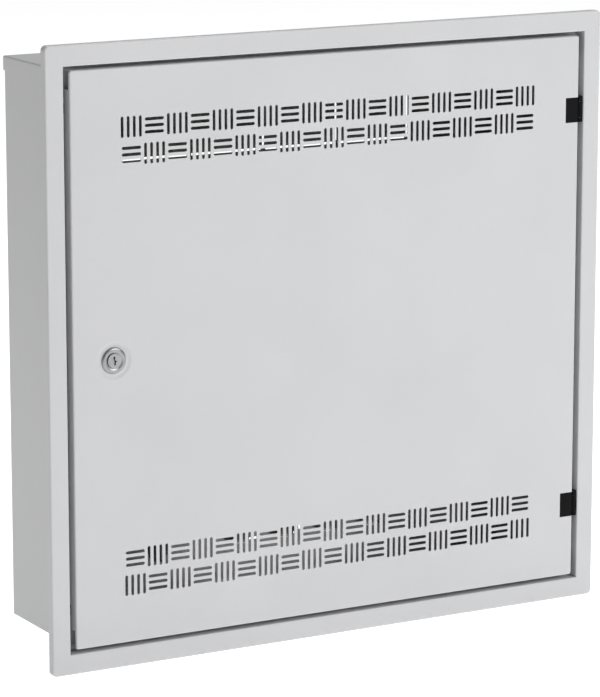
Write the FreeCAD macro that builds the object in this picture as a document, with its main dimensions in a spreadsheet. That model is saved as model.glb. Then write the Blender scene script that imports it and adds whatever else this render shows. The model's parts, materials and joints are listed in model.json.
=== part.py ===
import FreeCAD, Part
import os
import re

import Sketcher

# Flush-mounted cabinet for an underfloor heating manifold, with the manifold on its rails.
#
# Frame: the origin is the centre of the back wall's outer face, between the four wall screws. +X is to the
# right seen from the front, +Y is into the wall and +Z is up, so the door faces -Y. All sizes are in
# millimetres.

# ---------------------------------------------------------------- driving dimensions

SIZES = {
    # cabinet box
    "cabinet_depth": 143,
    "box_width": 560,
    "box_height": 550,
    "box_setback": 20,
    "sheet": 1,
    "cap_lip": 14,
    # wall screws and knock-outs in the back wall
    "wall_screw_from_side": 30,
    "wall_screw_from_end": 65,
    "wall_screw_radius": 4,
    "knockout_width": 83,
    "knockout_height": 76,
    "knockout_below_top": 110,
    "knockout_above_floor": 42,
    "slit": 2.4,
    "tab": 5,
    "drain_slit_length": 166,
    # opening for the floor pipes in the bottom, and for the supply pipes in the right side
    "pipe_slot_spare": 45,
    "pipe_slot_front": 102,
    "pipe_slot_back": 25,
    "side_hole_radius": 20,
    # front frame
    "frame_side": 19,
    "frame_end": 20,
    "frame_edge": 8,
    "frame_corner": 5,
    "frame_bend": 1.8,
    "rebate_depth": 15,
    "stop_lip": 6,
    "sleeve_clearance": 0.5,
    "sleeve_depth": 20,
    # clamp bolts between the sleeve and the box, in slots that let the frame meet the plaster
    "clamp_bolt_radius": 2.5,
    "clamp_bolt_play": 0.3,
    "clamp_bolt_from_end": 95,
    "clamp_bolt_in": 29.5,
    "frame_travel_back": 3.5,
    # door
    "door_taller": 2,
    "door_depth": 12,
    "door_corner": 2.5,
    "door_bend": 1.6,
    "side_gap": 6,
    "top_gap": 4,
    "corner_relief": 17,
    "buffer_radius": 5,
    "buffer_gap": 0.2,
    "buffer_from_end": 36,
    # vents: two bands of two rows of slots
    "vent_margin": 51,
    "vent_pitch": 24.1,
    "vent_row_pitch": 26,
    "vent_band_from_end": 69,
    "slot_length": 20,
    "slot_width": 3,
    "upright_slot_pitch": 6.3,
    "level_slot_pitch": 6.1,
    # hinges
    "hinge_from_end": 74,
    "hinge_height": 25,
    "hinge_reach": 15,
    "hinge_axis_in": 2.5,
    "knuckle_radius": 2.3,
    "hinge_pin_radius": 1,
    "hinge_play": 0.06,
    "stud_radius": 2,
    "stud_length": 8,
    "stud_in": 7,
    "stud_up": 9,
    # lock
    "lock_from_edge": 42.6,
    "lock_seat_depth": 0.8,
    "lock_seat_radius": 15.5,
    "lock_bezel_radius": 12.6,
    "lock_bezel": 2.2,
    "lock_barrel_radius": 9.3,
    "lock_hole_play": 0.2,
    "lock_plug_radius": 7,
    "plug_play": 0.05,
    "cam_length": 38,
    "cam_width": 14,
    "cam_sheet": 2,
    "cam_clearance": 0.8,
    "lock_square": 7,
    # mounting rails
    "rail_from_side": 40,
    "rail_height": 30,
    "rail_depth": 12,
    "rail_sheet": 1.5,
    "rail_mouth": 13,
    "upper_rail_above_supply": 47,
    "lower_rail_below_return": 41,
    # manifold bars
    "bar_radius": 17,
    "bar_wall": 2.5,
    "bar_end": 50,
    "supply_above_return": 210,
    "supply_in": 44,
    "return_above_floor": 110,
    "return_in": 82,
    "port_pitch": 50,
    "port_radius": 12,
    "port_height": 24,
    "port_bore": 7,
    "thread_length": 12,
    "thread_step": 0.5,
    # brackets and clamps
    "bracket_from_port": 33,
    "bracket_width": 20,
    "bracket_sheet": 3,
    "liner": 2,
    "clamp_wall": 2.5,
    "clamp_ear": 10,
    "clamp_ear_half": 2.7,
    "bracket_bolt_radius": 3,
    # flow meters
    "meter_glass_radius": 8.5,
    "meter_glass_wall": 1.5,
    "meter_height": 92,
    "meter_base": 11,
    "meter_ring_height": 15,
    "meter_ring_radius": 13,
    "meter_play": 0.1,
    "indicator_travel": 18,
    # return valves
    "insert_hex": 5,
    "valve_thread_radius": 15,
    "cap_thread_play": 0.1,
    "cap_travel": 3,
    "spindle_radius": 1.5,
    "spindle_play": 0.05,
    "hand_cap_radius": 17,
    "hand_cap_height": 27,
    # floor pipe adapters
    "adapter_radius": 13.2,
    "adapter_length": 14,
    "adapter_relief": 2,
    "adapter_neck": 12,
    "adapter_collar": 6,
    "adapter_hex": 16,
    # ball valves
    "ball_radius": 14,
    "ball_bore": 9,
    "ball_play": 0.3,
    "valve_body_radius": 20,
    "inlet_radius": 15.1,
    "inlet_depth": 14,
    "stem_radius": 5,
    "stem_out": 32,
    "stem_play": 0.05,
    "handle_length": 62,
    "handle_height": 13,
    "handle_thickness": 7,
    # union nuts, gaskets and end pieces
    "nut_length": 20,
    "nut_wall": 5.5,
    "gasket": 2,
    "end_piece_length": 36,
    "end_port_radius": 4,
    "vent_radius": 8,
    "vent_height": 22,
    "vent_cap_edge": 1,
    "drain_radius": 7.5,
    "drain_length": 26,
}

# Sizes that follow from the driving ones.
DERIVED = {
    "door_width": "box_width",
    "door_height": "box_height + door_taller",
    "frame_width": "door_width + 2 * side_gap + 2 * frame_side",
    "frame_height": "door_height + 2 * top_gap + 2 * frame_end",
    "wall_screw_across": "box_width - 2 * wall_screw_from_side",
    "wall_screw_up": "box_height - 2 * wall_screw_from_end",
    "knockout_low_edge": "box_height / 2 - knockout_below_top",
    "lower_knockout_edge": "-box_height / 2 + knockout_above_floor",
    "clamp_bolt_up": "box_height / 2 - clamp_bolt_from_end",
    "buffer_up": "door_height / 2 - buffer_from_end",
    "vent_band_height": "door_height / 2 - vent_band_from_end",
    "hinge_up": "door_height / 2 - hinge_from_end",
    "rail_length": "box_width - 2 * rail_from_side",
    "return_up": "-box_height / 2 + return_above_floor",
    "supply_up": "return_up + supply_above_return",
    "upper_rail_up": "supply_up + upper_rail_above_supply",
    "lower_rail_up": "return_up - lower_rail_below_return",
    "bar_length": "3 * port_pitch + 2 * bar_end",
    "bracket_across": "1.5 * port_pitch + bracket_from_port",
    "pipe_slot_length": "3 * port_pitch + 2 * pipe_slot_spare",
    "thread_radius": "bar_radius - thread_step",
    "nut_radius": "thread_radius + nut_wall",
}

doc = FreeCAD.newDocument("manifold_cabinet")
sheet = doc.addObject("Spreadsheet::Sheet", "Sizes")
for row, (alias, number) in enumerate(SIZES.items(), start=1):
    sheet.set(f"A{row}", alias)
    sheet.set(f"B{row}", str(number))
    sheet.setAlias(f"B{row}", alias)
doc.recompute()

subparts = []


def linked(text):
    """An expression in plain size names, with each driving size pointed at its cell."""

    def swap(match):
        word = match[0]
        if word in DERIVED:
            return f"({linked(DERIVED[word])})"
        return f"Sizes.{word}" if word in SIZES else word

    return re.sub(r"[a-z_]+", swap, text)


reader = doc.addObject("App::FeaturePython", "Reader")
reader.addProperty("App::PropertyFloat", "Value")


def number(text):
    """The number that an expression gives now."""
    reader.setExpression("Value", linked(text))
    reader.recompute()
    return float(reader.Value)


def bind(thing, prop, text):
    thing.setExpression(prop, linked(text))


# ---------------------------------------------------------------- shape helpers

AXIS_TURN = {
    "X": FreeCAD.Rotation(FreeCAD.Vector(0, 1, 0), 90),
    "Y": FreeCAD.Rotation(FreeCAD.Vector(1, 0, 0), -90),
    "Z": FreeCAD.Rotation(),
    "-X": FreeCAD.Rotation(FreeCAD.Vector(0, 1, 0), -90),
    "-Y": FreeCAD.Rotation(FreeCAD.Vector(1, 0, 0), 90),
    "-Z": FreeCAD.Rotation(FreeCAD.Vector(1, 0, 0), 180),
}


def place(thing, axis, at):
    """Turns a thing made along +Z to the axis, and puts its base at the three expressions in at."""
    thing.Placement = FreeCAD.Placement(FreeCAD.Vector(), AXIS_TURN[axis])
    for letter, text in zip("xyz", at):
        bind(thing, f"Placement.Base.{letter}", text)
    return thing


def block(x, y, z):
    """A box between two planes on each axis, each pair given as (low, high) expressions."""
    made = doc.addObject("Part::Box", "Block")
    for prop, letter, (low, high) in zip(("Length", "Width", "Height"), "xyz", (x, y, z)):
        bind(made, prop, f"({high}) - ({low})")
        bind(made, f"Placement.Base.{letter}", low)
    return made


def both(half):
    """The low and high expression of a span centred on zero."""
    return f"-({half})", half


def rod(axis, radius, length, at):
    """A cylinder that starts at the point at and runs along the axis."""
    made = doc.addObject("Part::Cylinder", "Rod")
    bind(made, "Radius", radius)
    bind(made, "Height", length)
    return place(made, axis, at)


def cone(axis, radius, end_radius, length, at):
    made = doc.addObject("Part::Cone", "Cone")
    bind(made, "Radius1", radius)
    bind(made, "Radius2", end_radius)
    bind(made, "Height", length)
    return place(made, axis, at)


def hexagon(axis, radius, length, at):
    """A hexagonal prism, its radius to the corners."""
    made = doc.addObject("Part::Prism", "Hexagon")
    made.Polygon = 6
    bind(made, "Circumradius", radius)
    bind(made, "Height", length)
    return place(made, axis, at)


def ball(axis, radius, at):
    """A sphere with its poles on the axis, where a bore takes them away."""
    made = doc.addObject("Part::Sphere", "Ball")
    bind(made, "Radius", radius)
    return place(made, axis, at)


def sketch_in(body, plane, corners):
    """A closed outline of straight edges on one of the body's planes, each corner held by two named sizes."""
    made = body.newObject("Sketcher::SketchObject", "Outline")
    origin_plane = [f for f in body.Origin.OriginFeatures if f.Role == plane][0]
    made.AttachmentSupport = [(origin_plane, "")]
    made.MapMode = "FlatFace"
    drawn = [[number(text) for text in corner] for corner in corners]
    count = len(corners)
    for i in range(count):
        start, end = drawn[i], drawn[(i + 1) % count]
        made.addGeometry(Part.LineSegment(FreeCAD.Vector(*start, 0), FreeCAD.Vector(*end, 0)))
    for i in range(count):
        made.addConstraint(Sketcher.Constraint("Coincident", i, 2, (i + 1) % count, 1))
    for i, corner in enumerate(corners):
        for kind, tag, text, now in zip(("DistanceX", "DistanceY"), "uv", corner, drawn[i]):
            index = made.addConstraint(Sketcher.Constraint(kind, -1, 1, i, 1, now))
            made.renameConstraint(index, f"{tag}{i}")
            made.setExpression(f"Constraints.{tag}{i}", linked(text))
    return made


def turned(axis, at, profile):
    """A turned piece: corners (radius, distance along the axis) spun about the axis through the point at."""
    body = doc.addObject("PartDesign::Body", "Turned")
    outline = sketch_in(body, "XZ_Plane", profile)
    spin = body.newObject("PartDesign::Revolution", "Spin")
    spin.Profile = outline
    spin.ReferenceAxis = (outline, ["V_Axis"])
    spin.Angle = 360
    return place(body, axis, at)


def extruded(corners, low, high):
    """A piece of one section in X and Y, padded upwards from low to high."""
    body = doc.addObject("PartDesign::Body", "Extruded")
    outline = sketch_in(body, "XY_Plane", corners)
    pad = body.newObject("PartDesign::Pad", "Pad")
    pad.Profile = outline
    bind(pad, "Length", f"({high}) - ({low})")
    return place(body, "Z", ("0", "0", low))


def joined(*pieces):
    made = doc.addObject("Part::MultiFuse", "Joined")
    made.Shapes = list(pieces)
    made.Refine = True
    return made


def cut(base, *tools):
    made = doc.addObject("Part::Cut", "Cut")
    made.Base = base
    made.Tool = tools[0] if len(tools) == 1 else joined(*tools)
    return made


def grouped(pieces):
    """Separate solids that share a node."""
    made = doc.addObject("Part::Compound", "Group")
    made.Links = list(pieces)
    return made


def rounded(source, alias, pick, less="0"):
    """Fillets the edges that pick chooses, at the named radius less an allowance."""
    doc.recompute()
    radius = number(f"{alias} - {less}")
    made = doc.addObject("Part::Fillet", "Rounded")
    made.Base = source
    chosen = [i for i, edge in enumerate(source.Shape.Edges, start=1) if pick(edge)]
    made.Edges = [(i, radius, radius) for i in chosen]
    return made


def runs_along(axis):
    """Picks straight edges parallel to an axis."""

    def pick(edge):
        box = edge.BoundBox
        spans = {"X": box.XLength, "Y": box.YLength, "Z": box.ZLength}
        across = sum(length for letter, length in spans.items() if letter != axis)
        return across < 1e-6 < spans[axis]

    return pick


def lies_at(text, within=None):
    """Picks the edges in the plane Y = text, and inside a half-width and half-height if they are given."""
    level = number(text)

    def pick(edge):
        box = edge.BoundBox
        flat = abs(box.YMin - level) < 1e-4 and abs(box.YMax - level) < 1e-4
        if within is None or not flat:
            return flat
        return max(abs(box.XMin), abs(box.XMax)) < within[0] and max(abs(box.ZMin), abs(box.ZMax)) < within[1]

    return pick


def part(name, thing):
    """Marks a finished object as a sub-part of its own, under a name that a fitter would use."""
    thing.Label = name
    subparts.append(thing)
    return thing


# ---------------------------------------------------------------- shared places

FRONT = "-cabinet_depth"
BOX_FRONT = "-cabinet_depth + box_setback"
BOX_X = "box_width / 2"
BOX_Z = "box_height / 2"
OPEN_X = "(door_width / 2 + side_gap)"
OPEN_Z = "(door_height / 2 + top_gap)"
SLEEVE_X = "(box_width / 2 - sheet - sleeve_clearance)"
SLEEVE_Z = "(box_height / 2 - sheet - sleeve_clearance)"
LIP_FRONT = "(-cabinet_depth + rebate_depth)"
LIP_BACK = "(-cabinet_depth + rebate_depth + sheet)"
SLEEVE_BACK = "(-cabinet_depth + rebate_depth + sheet + sleeve_depth)"
CAP_LIP_FRONT = f"({SLEEVE_BACK} + frame_travel_back + sheet)"
LOCK_X = "(-door_width / 2 + lock_from_edge)"
HINGE_X = "(door_width / 2 + side_gap / 2)"
HINGE_Y = "(-cabinet_depth + hinge_axis_in)"
CLAMP_Y = "(-cabinet_depth + clamp_bolt_in)"
SIDES = ("-1", "1")


# ---------------------------------------------------------------- cabinet box


def slit_ring(x_low, x_high, z_low, z_high):
    """The four slits round one knock-out, which stays held by a tab at each corner."""
    deep = ("-sheet - 1", "1")
    level = (f"{x_low} + tab / 2", f"{x_high} - tab / 2")
    upright = (f"{z_low} + tab / 2", f"{z_high} - tab / 2")
    rows = [block(level, deep, (f"{z} - slit / 2", f"{z} + slit / 2")) for z in (z_low, z_high)]
    posts = [block((f"{x} - slit / 2", f"{x} + slit / 2"), deep, upright) for x in (x_low, x_high)]
    return rows + posts


def knockout_slits():
    """A row of four knock-outs high in the back wall and one low in the middle. Neighbours share a slit."""
    high = "(knockout_low_edge + knockout_height)"
    upright = ("knockout_low_edge + tab / 2", f"{high} - tab / 2")
    deep = ("-sheet - 1", "1")
    slits = []
    for i in range(5):
        x = f"{i - 2} * knockout_width"
        slits.append(block((f"{x} - slit / 2", f"{x} + slit / 2"), deep, upright))
    for i in range(4):
        level = (f"{i - 2} * knockout_width + tab / 2", f"{i - 1} * knockout_width - tab / 2")
        for z in ("knockout_low_edge", high):
            slits.append(block(level, deep, (f"{z} - slit / 2", f"{z} + slit / 2")))
    half = "knockout_width / 2"
    lower_top = "(lower_knockout_edge + knockout_height)"
    return slits + slit_ring(f"-{half}", half, "lower_knockout_edge", lower_top)


def clamp_slots():
    """Open-ended slots in the box sides, in which the frame slides to meet the plaster."""
    room = "(clamp_bolt_radius + clamp_bolt_play)"
    made = []
    for side in SIDES:
        for up in SIDES:
            made.append(
                block(
                    (f"{side} * box_width / 2 - 3", f"{side} * box_width / 2 + 3"),
                    (f"{BOX_FRONT} - 1", f"{CLAMP_Y} + frame_travel_back + {room}"),
                    (f"{up} * clamp_bolt_up - {room}", f"{up} * clamp_bolt_up + {room}"),
                )
            )
    return made


def back_shell():
    """Back wall and both sides, folded from one sheet."""
    z = (f"-{BOX_Z}", f"{BOX_Z} - sheet")
    outer = block(both(BOX_X), (BOX_FRONT, "0"), z)
    outer = rounded(outer, "frame_bend", lambda e: runs_along("Z")(e) and e.BoundBox.YMin > -1)
    inner = block(both(f"{BOX_X} - sheet"), (f"{BOX_FRONT} - 1", "-sheet"), (f"{z[0]} - 1", f"{z[1]} + 1"))
    holes = []
    for side in SIDES:
        for up in SIDES:
            at = (f"{side} * wall_screw_across / 2", "-sheet - 1", f"{up} * wall_screw_up / 2")
            holes.append(rod("Y", "wall_screw_radius", "sheet + 2", at))
    pipe_holes = [
        rod("X", "side_hole_radius", "sheet + 2", (f"{BOX_X} - sheet - 1", f"-{name}_in", f"{name}_up"))
        for name in ("supply", "return")
    ]
    lip_room = block(both(f"{BOX_X} + 1"), ("-sheet", "1"), (f"{BOX_Z} - cap_lip", BOX_Z))
    return cut(outer, inner, lip_room, *holes, *pipe_holes, *knockout_slits(), *clamp_slots())


def top_cap():
    """Folded top. Its side lips lap over the sides, and its rear lip lies flush with the back wall."""
    x = f"({BOX_X} + sheet)"
    low = f"{BOX_Z} - cap_lip"
    outer = block(both(x), (BOX_FRONT, "0"), (low, BOX_Z))
    folds = {"Y": lambda e: e.BoundBox.YMax > -1e-3, "X": lambda e: e.BoundBox.YMin > -1e-3}
    top = number(BOX_Z) - 1e-3
    outer = rounded(
        outer,
        "frame_bend",
        lambda e: e.BoundBox.ZMin > top and any(runs_along(axis)(e) and at(e) for axis, at in folds.items()),
    )
    inner = block(both(BOX_X), (f"{BOX_FRONT} - 1", "-sheet"), (f"{low} - 1", f"{BOX_Z} - sheet"))
    return cut(outer, inner)


def bottom_cap():
    """Folded bottom inside the shell, with the slot that the floor pipes come up through."""
    x = f"({BOX_X} - sheet)"
    plate = block(both(x), (BOX_FRONT, "-sheet"), (f"-{BOX_Z}", f"-{BOX_Z} + sheet"))
    lips = [
        block((f"{x} - sheet", x), (CAP_LIP_FRONT, "-sheet"), (f"-{BOX_Z}", f"-{BOX_Z} + cap_lip")),
        block((f"-{x}", f"-{x} + sheet"), (CAP_LIP_FRONT, "-sheet"), (f"-{BOX_Z}", f"-{BOX_Z} + cap_lip")),
    ]
    through = (f"-{BOX_Z} - 1", f"-{BOX_Z} + sheet + 1")
    slot = block(both("pipe_slot_length / 2"), ("-pipe_slot_front", "-pipe_slot_back"), through)
    drain = block(both("drain_slit_length / 2"), ("-sheet - slit - 0.8", "-sheet - 0.8"), through)
    return cut(joined(plate, *lips), slot, drain)


# ---------------------------------------------------------------- front frame


def frame_flange():
    """The visible flange with its edge turned back to the plaster."""
    blank = block(both("frame_width / 2"), (FRONT, f"{FRONT} + frame_edge"), both("frame_height / 2"))
    blank = rounded(blank, "frame_corner", runs_along("Y"))
    blank = rounded(blank, "frame_bend", lies_at(FRONT))
    inner = block(
        both("frame_width / 2 - sheet"),
        (f"{FRONT} + sheet", f"{FRONT} + frame_edge + 1"),
        both("frame_height / 2 - sheet"),
    )
    return cut(blank, rounded(inner, "frame_corner", runs_along("Y"), less="sheet"))


def hinge_windows():
    """Cut-outs in the rebate wall that the hinge sockets clip into."""
    return [
        block(
            (f"{OPEN_X} - 1", f"{OPEN_X} + sheet + 1"),
            (f"{FRONT} + frame_bend", f"{FRONT} + door_depth + 1"),
            (f"{up} * hinge_up - hinge_height / 2 - 0.5", f"{up} * hinge_up + hinge_height / 2 + 0.5"),
        )
        for up in SIDES
    ]


def front_frame():
    """Flange, rebate for the door, stop lip, and the sleeve that slides into the box."""
    rebate = block(both(f"{OPEN_X} + sheet"), (FRONT, LIP_BACK), both(f"{OPEN_Z} + sheet"))
    sleeve = block(both(SLEEVE_X), (LIP_FRONT, SLEEVE_BACK), both(SLEEVE_Z))
    solid = joined(frame_flange(), rebate, sleeve)
    door_room = block(both(OPEN_X), (f"{FRONT} - 1", LIP_FRONT), both(OPEN_Z))
    deep = (f"{LIP_FRONT} - 1", f"{LIP_BACK} + 1")
    mouth = block(both(f"{SLEEVE_X} - stop_lip"), deep, both(f"{SLEEVE_Z} - stop_lip"))
    inside = block(both(f"{SLEEVE_X} - sheet"), (LIP_BACK, f"{SLEEVE_BACK} + 1"), both(f"{SLEEVE_Z} - sheet"))
    bolt_holes = []
    for side in SIDES:
        start = f"{side} * ({SLEEVE_X} - sheet / 2) - sheet / 2 - 1"
        for up in SIDES:
            at = (start, CLAMP_Y, f"{up} * clamp_bolt_up")
            bolt_holes.append(rod("X", "clamp_bolt_radius + clamp_bolt_play", "sheet + 2", at))
    made = cut(solid, door_room, mouth, inside, *hinge_windows(), *bolt_holes)
    opening = (number(f"{OPEN_X} + 0.1"), number(f"{OPEN_Z} + 0.1"))
    return rounded(made, "frame_bend", lies_at(FRONT, opening), less="0.6")


def clamp_bolts():
    """Flat-headed bolts through the box sides, heads outside."""
    made = []
    for side, axis in (("-1", "X"), ("1", "-X")):
        for up in SIDES:
            z = f"{up} * clamp_bolt_up"
            head = rod(axis, "clamp_bolt_radius + 3", "1.8", (f"{side} * ({BOX_X} + 1.8)", CLAMP_Y, z))
            shank = rod(axis, "clamp_bolt_radius", "14", (f"{side} * ({BOX_X} + 1)", CLAMP_Y, z))
            made.append(joined(head, shank))
    return made


def wing_nuts():
    """Wing nuts that pull the sleeve to the box sides from inside."""
    made = []
    for side, axis in (("-1", "X"), ("1", "-X")):
        for up in SIDES:
            z = f"{up} * clamp_bolt_up"
            seat = f"{side} * ({SLEEVE_X} - sheet)"
            hub = cone(axis, "clamp_bolt_radius + 2.5", "clamp_bolt_radius + 1.5", "5", (seat, CLAMP_Y, z))
            wings = block(
                (f"{seat} - 3 * ({side}) - 4", f"{seat} - 3 * ({side}) - 4 + 8"),
                (f"{CLAMP_Y} - 0.8", f"{CLAMP_Y} + 0.8"),
                (f"{z} - 10", f"{z} + 10"),
            )
            wings = rounded(wings, "stud_radius", runs_along("Y"))
            trim = block(
                (f"{seat} - 8 * ({side}) - 8", f"{seat} - 8 * ({side}) + 8"),
                (f"{CLAMP_Y} - 9", f"{CLAMP_Y} + 9"),
                (f"{z} - 12", f"{z} + 12"),
            )
            inner = doc.addObject("Part::Common", "Trimmed")
            inner.Base = joined(hub, wings)
            inner.Tool = trim
            bore = rod(axis, "clamp_bolt_radius", "12", (f"{seat} + 1 * ({side})", CLAMP_Y, z))
            made.append(cut(inner, bore))
    return made


def door_buffers():
    """Rubber discs on the stop lip that the door closes against."""
    return [
        rod(
            "Y",
            "buffer_radius",
            "rebate_depth - door_depth - buffer_gap",
            (f"{side} * (door_width / 2 - sheet)", f"{FRONT} + door_depth + buffer_gap", f"{up} * buffer_up"),
        )
        for side in SIDES
        for up in SIDES
    ]


# ---------------------------------------------------------------- door


def vent_slot(x, z, upright):
    """One slot with round ends, long enough to pass through the door sheet."""
    radius = number("slot_width") / 2
    reach = number("slot_length") / 2 - radius
    dx, dz = (0, reach) if upright else (reach, 0)
    y = -number("cabinet_depth") - 1
    along = FreeCAD.Vector(dx, 0, dz)
    side = FreeCAD.Vector(dz, 0, -dx).normalize() * radius
    centre = FreeCAD.Vector(x, y, z)
    a, b = centre - along, centre + along
    tip = FreeCAD.Vector(along).normalize() * radius
    edges = [
        Part.LineSegment(a + side, b + side).toShape(),
        Part.Arc(b + side, b + tip, b - side).toShape(),
        Part.LineSegment(b - side, a - side).toShape(),
        Part.Arc(a - side, a - tip, a + side).toShape(),
    ]
    return Part.Face(Part.Wire(edges)).extrude(FreeCAD.Vector(0, number("sheet") + 2, 0))


def vent_tool():
    """Every vent slot. Blocks of four upright and of three level slots alternate, as in basket weave."""
    slots = []
    across, up = number("upright_slot_pitch"), number("level_slot_pitch")
    room = int(number("(door_width - 2 * vent_margin) / vent_pitch"))
    count = room if room % 2 else room - 1
    for band in (1, -1):
        for row in (1, -1):
            z = band * number("vent_band_height") + row * number("vent_row_pitch") / 2
            for i in range(count):
                x = (i - (count - 1) / 2) * number("vent_pitch")
                if (i % 2 == 0) == (band == row):
                    slots += [vent_slot(x + (k - 1.5) * across, z, True) for k in range(4)]
                else:
                    slots += [vent_slot(x, z + (k - 1) * up, False) for k in range(3)]
    made = doc.addObject("Part::Feature", "VentTool")
    made.Shape = Part.Compound(slots)
    return made


def door():
    """Folded pan with relieved corners, a dished seat for the lock, hinge notches, studs and vents."""
    x, z = "door_width / 2", "door_height / 2"
    pan = block(both(x), (FRONT, f"{FRONT} + door_depth"), both(z))
    pan = rounded(pan, "door_corner", runs_along("Y"))
    pan = rounded(pan, "door_bend", lies_at(FRONT))
    deep = (f"{FRONT} + sheet", f"{FRONT} + door_depth + 1")
    inner = block(both(f"{x} - sheet"), deep, both(f"{z} - sheet"))
    inner = rounded(inner, "door_corner", runs_along("Y"), less="sheet")
    at_lock = (LOCK_X, FRONT, "0")
    behind = (LOCK_X, f"{FRONT} + sheet", "0")
    rim_radius = "lock_seat_radius + 3"
    dish_back = cone("Y", f"{rim_radius} + 0.4", "lock_seat_radius + 0.4", "lock_seat_depth", behind)
    stud_x = f"{x} - hinge_reach - stud_in"
    root = f"{FRONT} + sheet"
    studs = [
        rod("Y", "stud_radius", "stud_length", (stud_x, root, f"{up} * hinge_up + {a} * stud_up"))
        for up in SIDES
        for a in SIDES
    ]
    shell = joined(cut(pan, inner), dish_back, *studs)
    half = "corner_relief / 2"
    reliefs = []
    for side in SIDES:
        wide = (f"{side} * ({x}) - 2 * sheet", f"{side} * ({x}) + 2 * sheet")
        for up in SIDES:
            middle = f"{up} * ({z} - sheet - {half})"
            rim = (f"{FRONT} + door_bend + 1.2", f"{FRONT} + door_depth + 1")
            reliefs.append(block(wide, rim, (f"{middle} - {half}", f"{middle} + {half}")))
    notches = [
        block(
            (f"{x} - hinge_reach", f"{x} + 1"),
            (f"{FRONT} - 1", f"{FRONT} + door_depth + 1"),
            (f"{up} * hinge_up - hinge_height / 2", f"{up} * hinge_up + hinge_height / 2"),
        )
        for up in SIDES
    ]
    dish = cone("Y", rim_radius, "lock_seat_radius", "lock_seat_depth", at_lock)
    hole = rod("Y", "lock_barrel_radius + lock_hole_play", "6", (LOCK_X, f"{FRONT} - 1", "0"))
    return cut(cut(shell, dish, hole, *reliefs, *notches), vent_tool())


# ---------------------------------------------------------------- hinges


def hinge_leaf(up):
    """Black plastic leaf in the door's notch, held by two studs, with a knuckle on its edge."""
    z = f"{up} * hinge_up"
    edge = "door_width / 2"
    play = "0.1"
    low, high = f"{z} - hinge_height / 2 + {play}", f"{z} + hinge_height / 2 - {play}"
    section = [
        (f"{edge} - hinge_reach + {play}", FRONT),
        (f"{edge} - 1.6", FRONT),
        (f"{edge} + 0.6", f"{FRONT} + 1.4"),
        (HINGE_X, f"{FRONT} + 1.4"),
        (HINGE_X, f"{HINGE_Y} + 1.6"),
        (f"{edge} - hinge_reach + {play}", f"{HINGE_Y} + 1.6"),
    ]
    blade = extruded(section, low, high)
    plate = block(
        (f"{edge} - hinge_reach - 14", f"{edge} - sheet - 0.4"),
        (f"{FRONT} + sheet", f"{HINGE_Y} + 1.6"),
        (f"{z} - hinge_height / 2 - 5", f"{z} + hinge_height / 2 + 5"),
    )
    foot = f"{z} - hinge_height / 2"
    knuckle = rod("Z", "knuckle_radius", "hinge_height - 9.4", (HINGE_X, HINGE_Y, f"{foot} + 4.7"))
    ends = []
    for side in SIDES:
        middle = f"{z} + {side} * (hinge_height / 2 - 2.35)"
        ends.append(
            block(
                (f"{edge} + 0.1", f"{HINGE_X} + 4"),
                (f"{FRONT} - 1", f"{HINGE_Y} + 4"),
                (f"{middle} - 2.35", f"{middle} + 2.35"),
            )
        )
    bore = rod("Z", "hinge_pin_radius + hinge_play", "hinge_height + 4", (HINGE_X, HINGE_Y, f"{foot} - 2"))
    stud_x = f"{edge} - hinge_reach - stud_in"
    stud_holes = [
        rod("Y", "stud_radius + 0.1", "12", (stud_x, f"{FRONT} - 1", f"{z} + {side} * stud_up"))
        for side in SIDES
    ]
    return cut(joined(cut(joined(blade, plate), *ends), knuckle), bore, *stud_holes)


def hinge_socket(up):
    """Black plastic socket clipped through the rebate wall; its two lugs hold the pin."""
    z = f"{up} * hinge_up"
    window = f"{OPEN_X} - 0.1"
    filler = block(
        (window, f"{OPEN_X} + sheet + 0.2"),
        (f"{FRONT} + frame_bend + 0.2", f"{FRONT} + door_depth + 0.8"),
        (f"{z} - hinge_height / 2 - 0.3", f"{z} + hinge_height / 2 + 0.3"),
    )
    base = block(
        (f"{OPEN_X} + sheet", f"{OPEN_X} + sheet + 8"),
        (f"{FRONT} + sheet", f"{FRONT} + door_depth + 2"),
        (f"{z} - hinge_height / 2 - 5", f"{z} + hinge_height / 2 + 5"),
    )
    lugs = []
    for side in SIDES:
        middle = f"{z} + {side} * (hinge_height / 2 - 2.1)"
        lugs.append(rod("Z", "knuckle_radius", "4.2", (HINGE_X, HINGE_Y, f"{middle} - 2.1")))
        lugs.append(
            block(
                (HINGE_X, f"{OPEN_X} + 0.5"),
                (f"{FRONT} + frame_bend + 0.2", f"{HINGE_Y} + knuckle_radius"),
                (f"{middle} - 2.1", f"{middle} + 2.1"),
            )
        )
    bore = rod("Z", "hinge_pin_radius", "hinge_height + 4", (HINGE_X, HINGE_Y, f"{z} - hinge_height / 2 - 2"))
    return cut(joined(filler, base, *lugs), bore)


def hinge_pins():
    """Loose pin through both knuckles of each hinge."""
    feet = [f"{up} * hinge_up - hinge_height / 2" for up in SIDES]
    return [rod("Z", "hinge_pin_radius", "hinge_height", (HINGE_X, HINGE_Y, foot)) for foot in feet]


def hinge_nuts():
    """Nuts on the door's studs, behind the leaves."""
    made = []
    for up in SIDES:
        for step in SIDES:
            z = f"{up} * hinge_up + {step} * stud_up"
            at = ("door_width / 2 - hinge_reach - stud_in", f"{HINGE_Y} + 1.6", z)
            hole = rod("Y", "stud_radius", "5", (at[0], f"{at[1]} - 1", at[2]))
            made.append(cut(hexagon("Y", "4", "3", at), hole))
    return made


# ---------------------------------------------------------------- lock

SEAT = f"({FRONT} + lock_seat_depth)"
SEAT_BACK = f"({FRONT} + sheet + lock_seat_depth)"
CAM_FRONT = f"({LIP_BACK} + cam_clearance)"
BARREL_BACK = f"({CAM_FRONT} - 0.3)"


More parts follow.
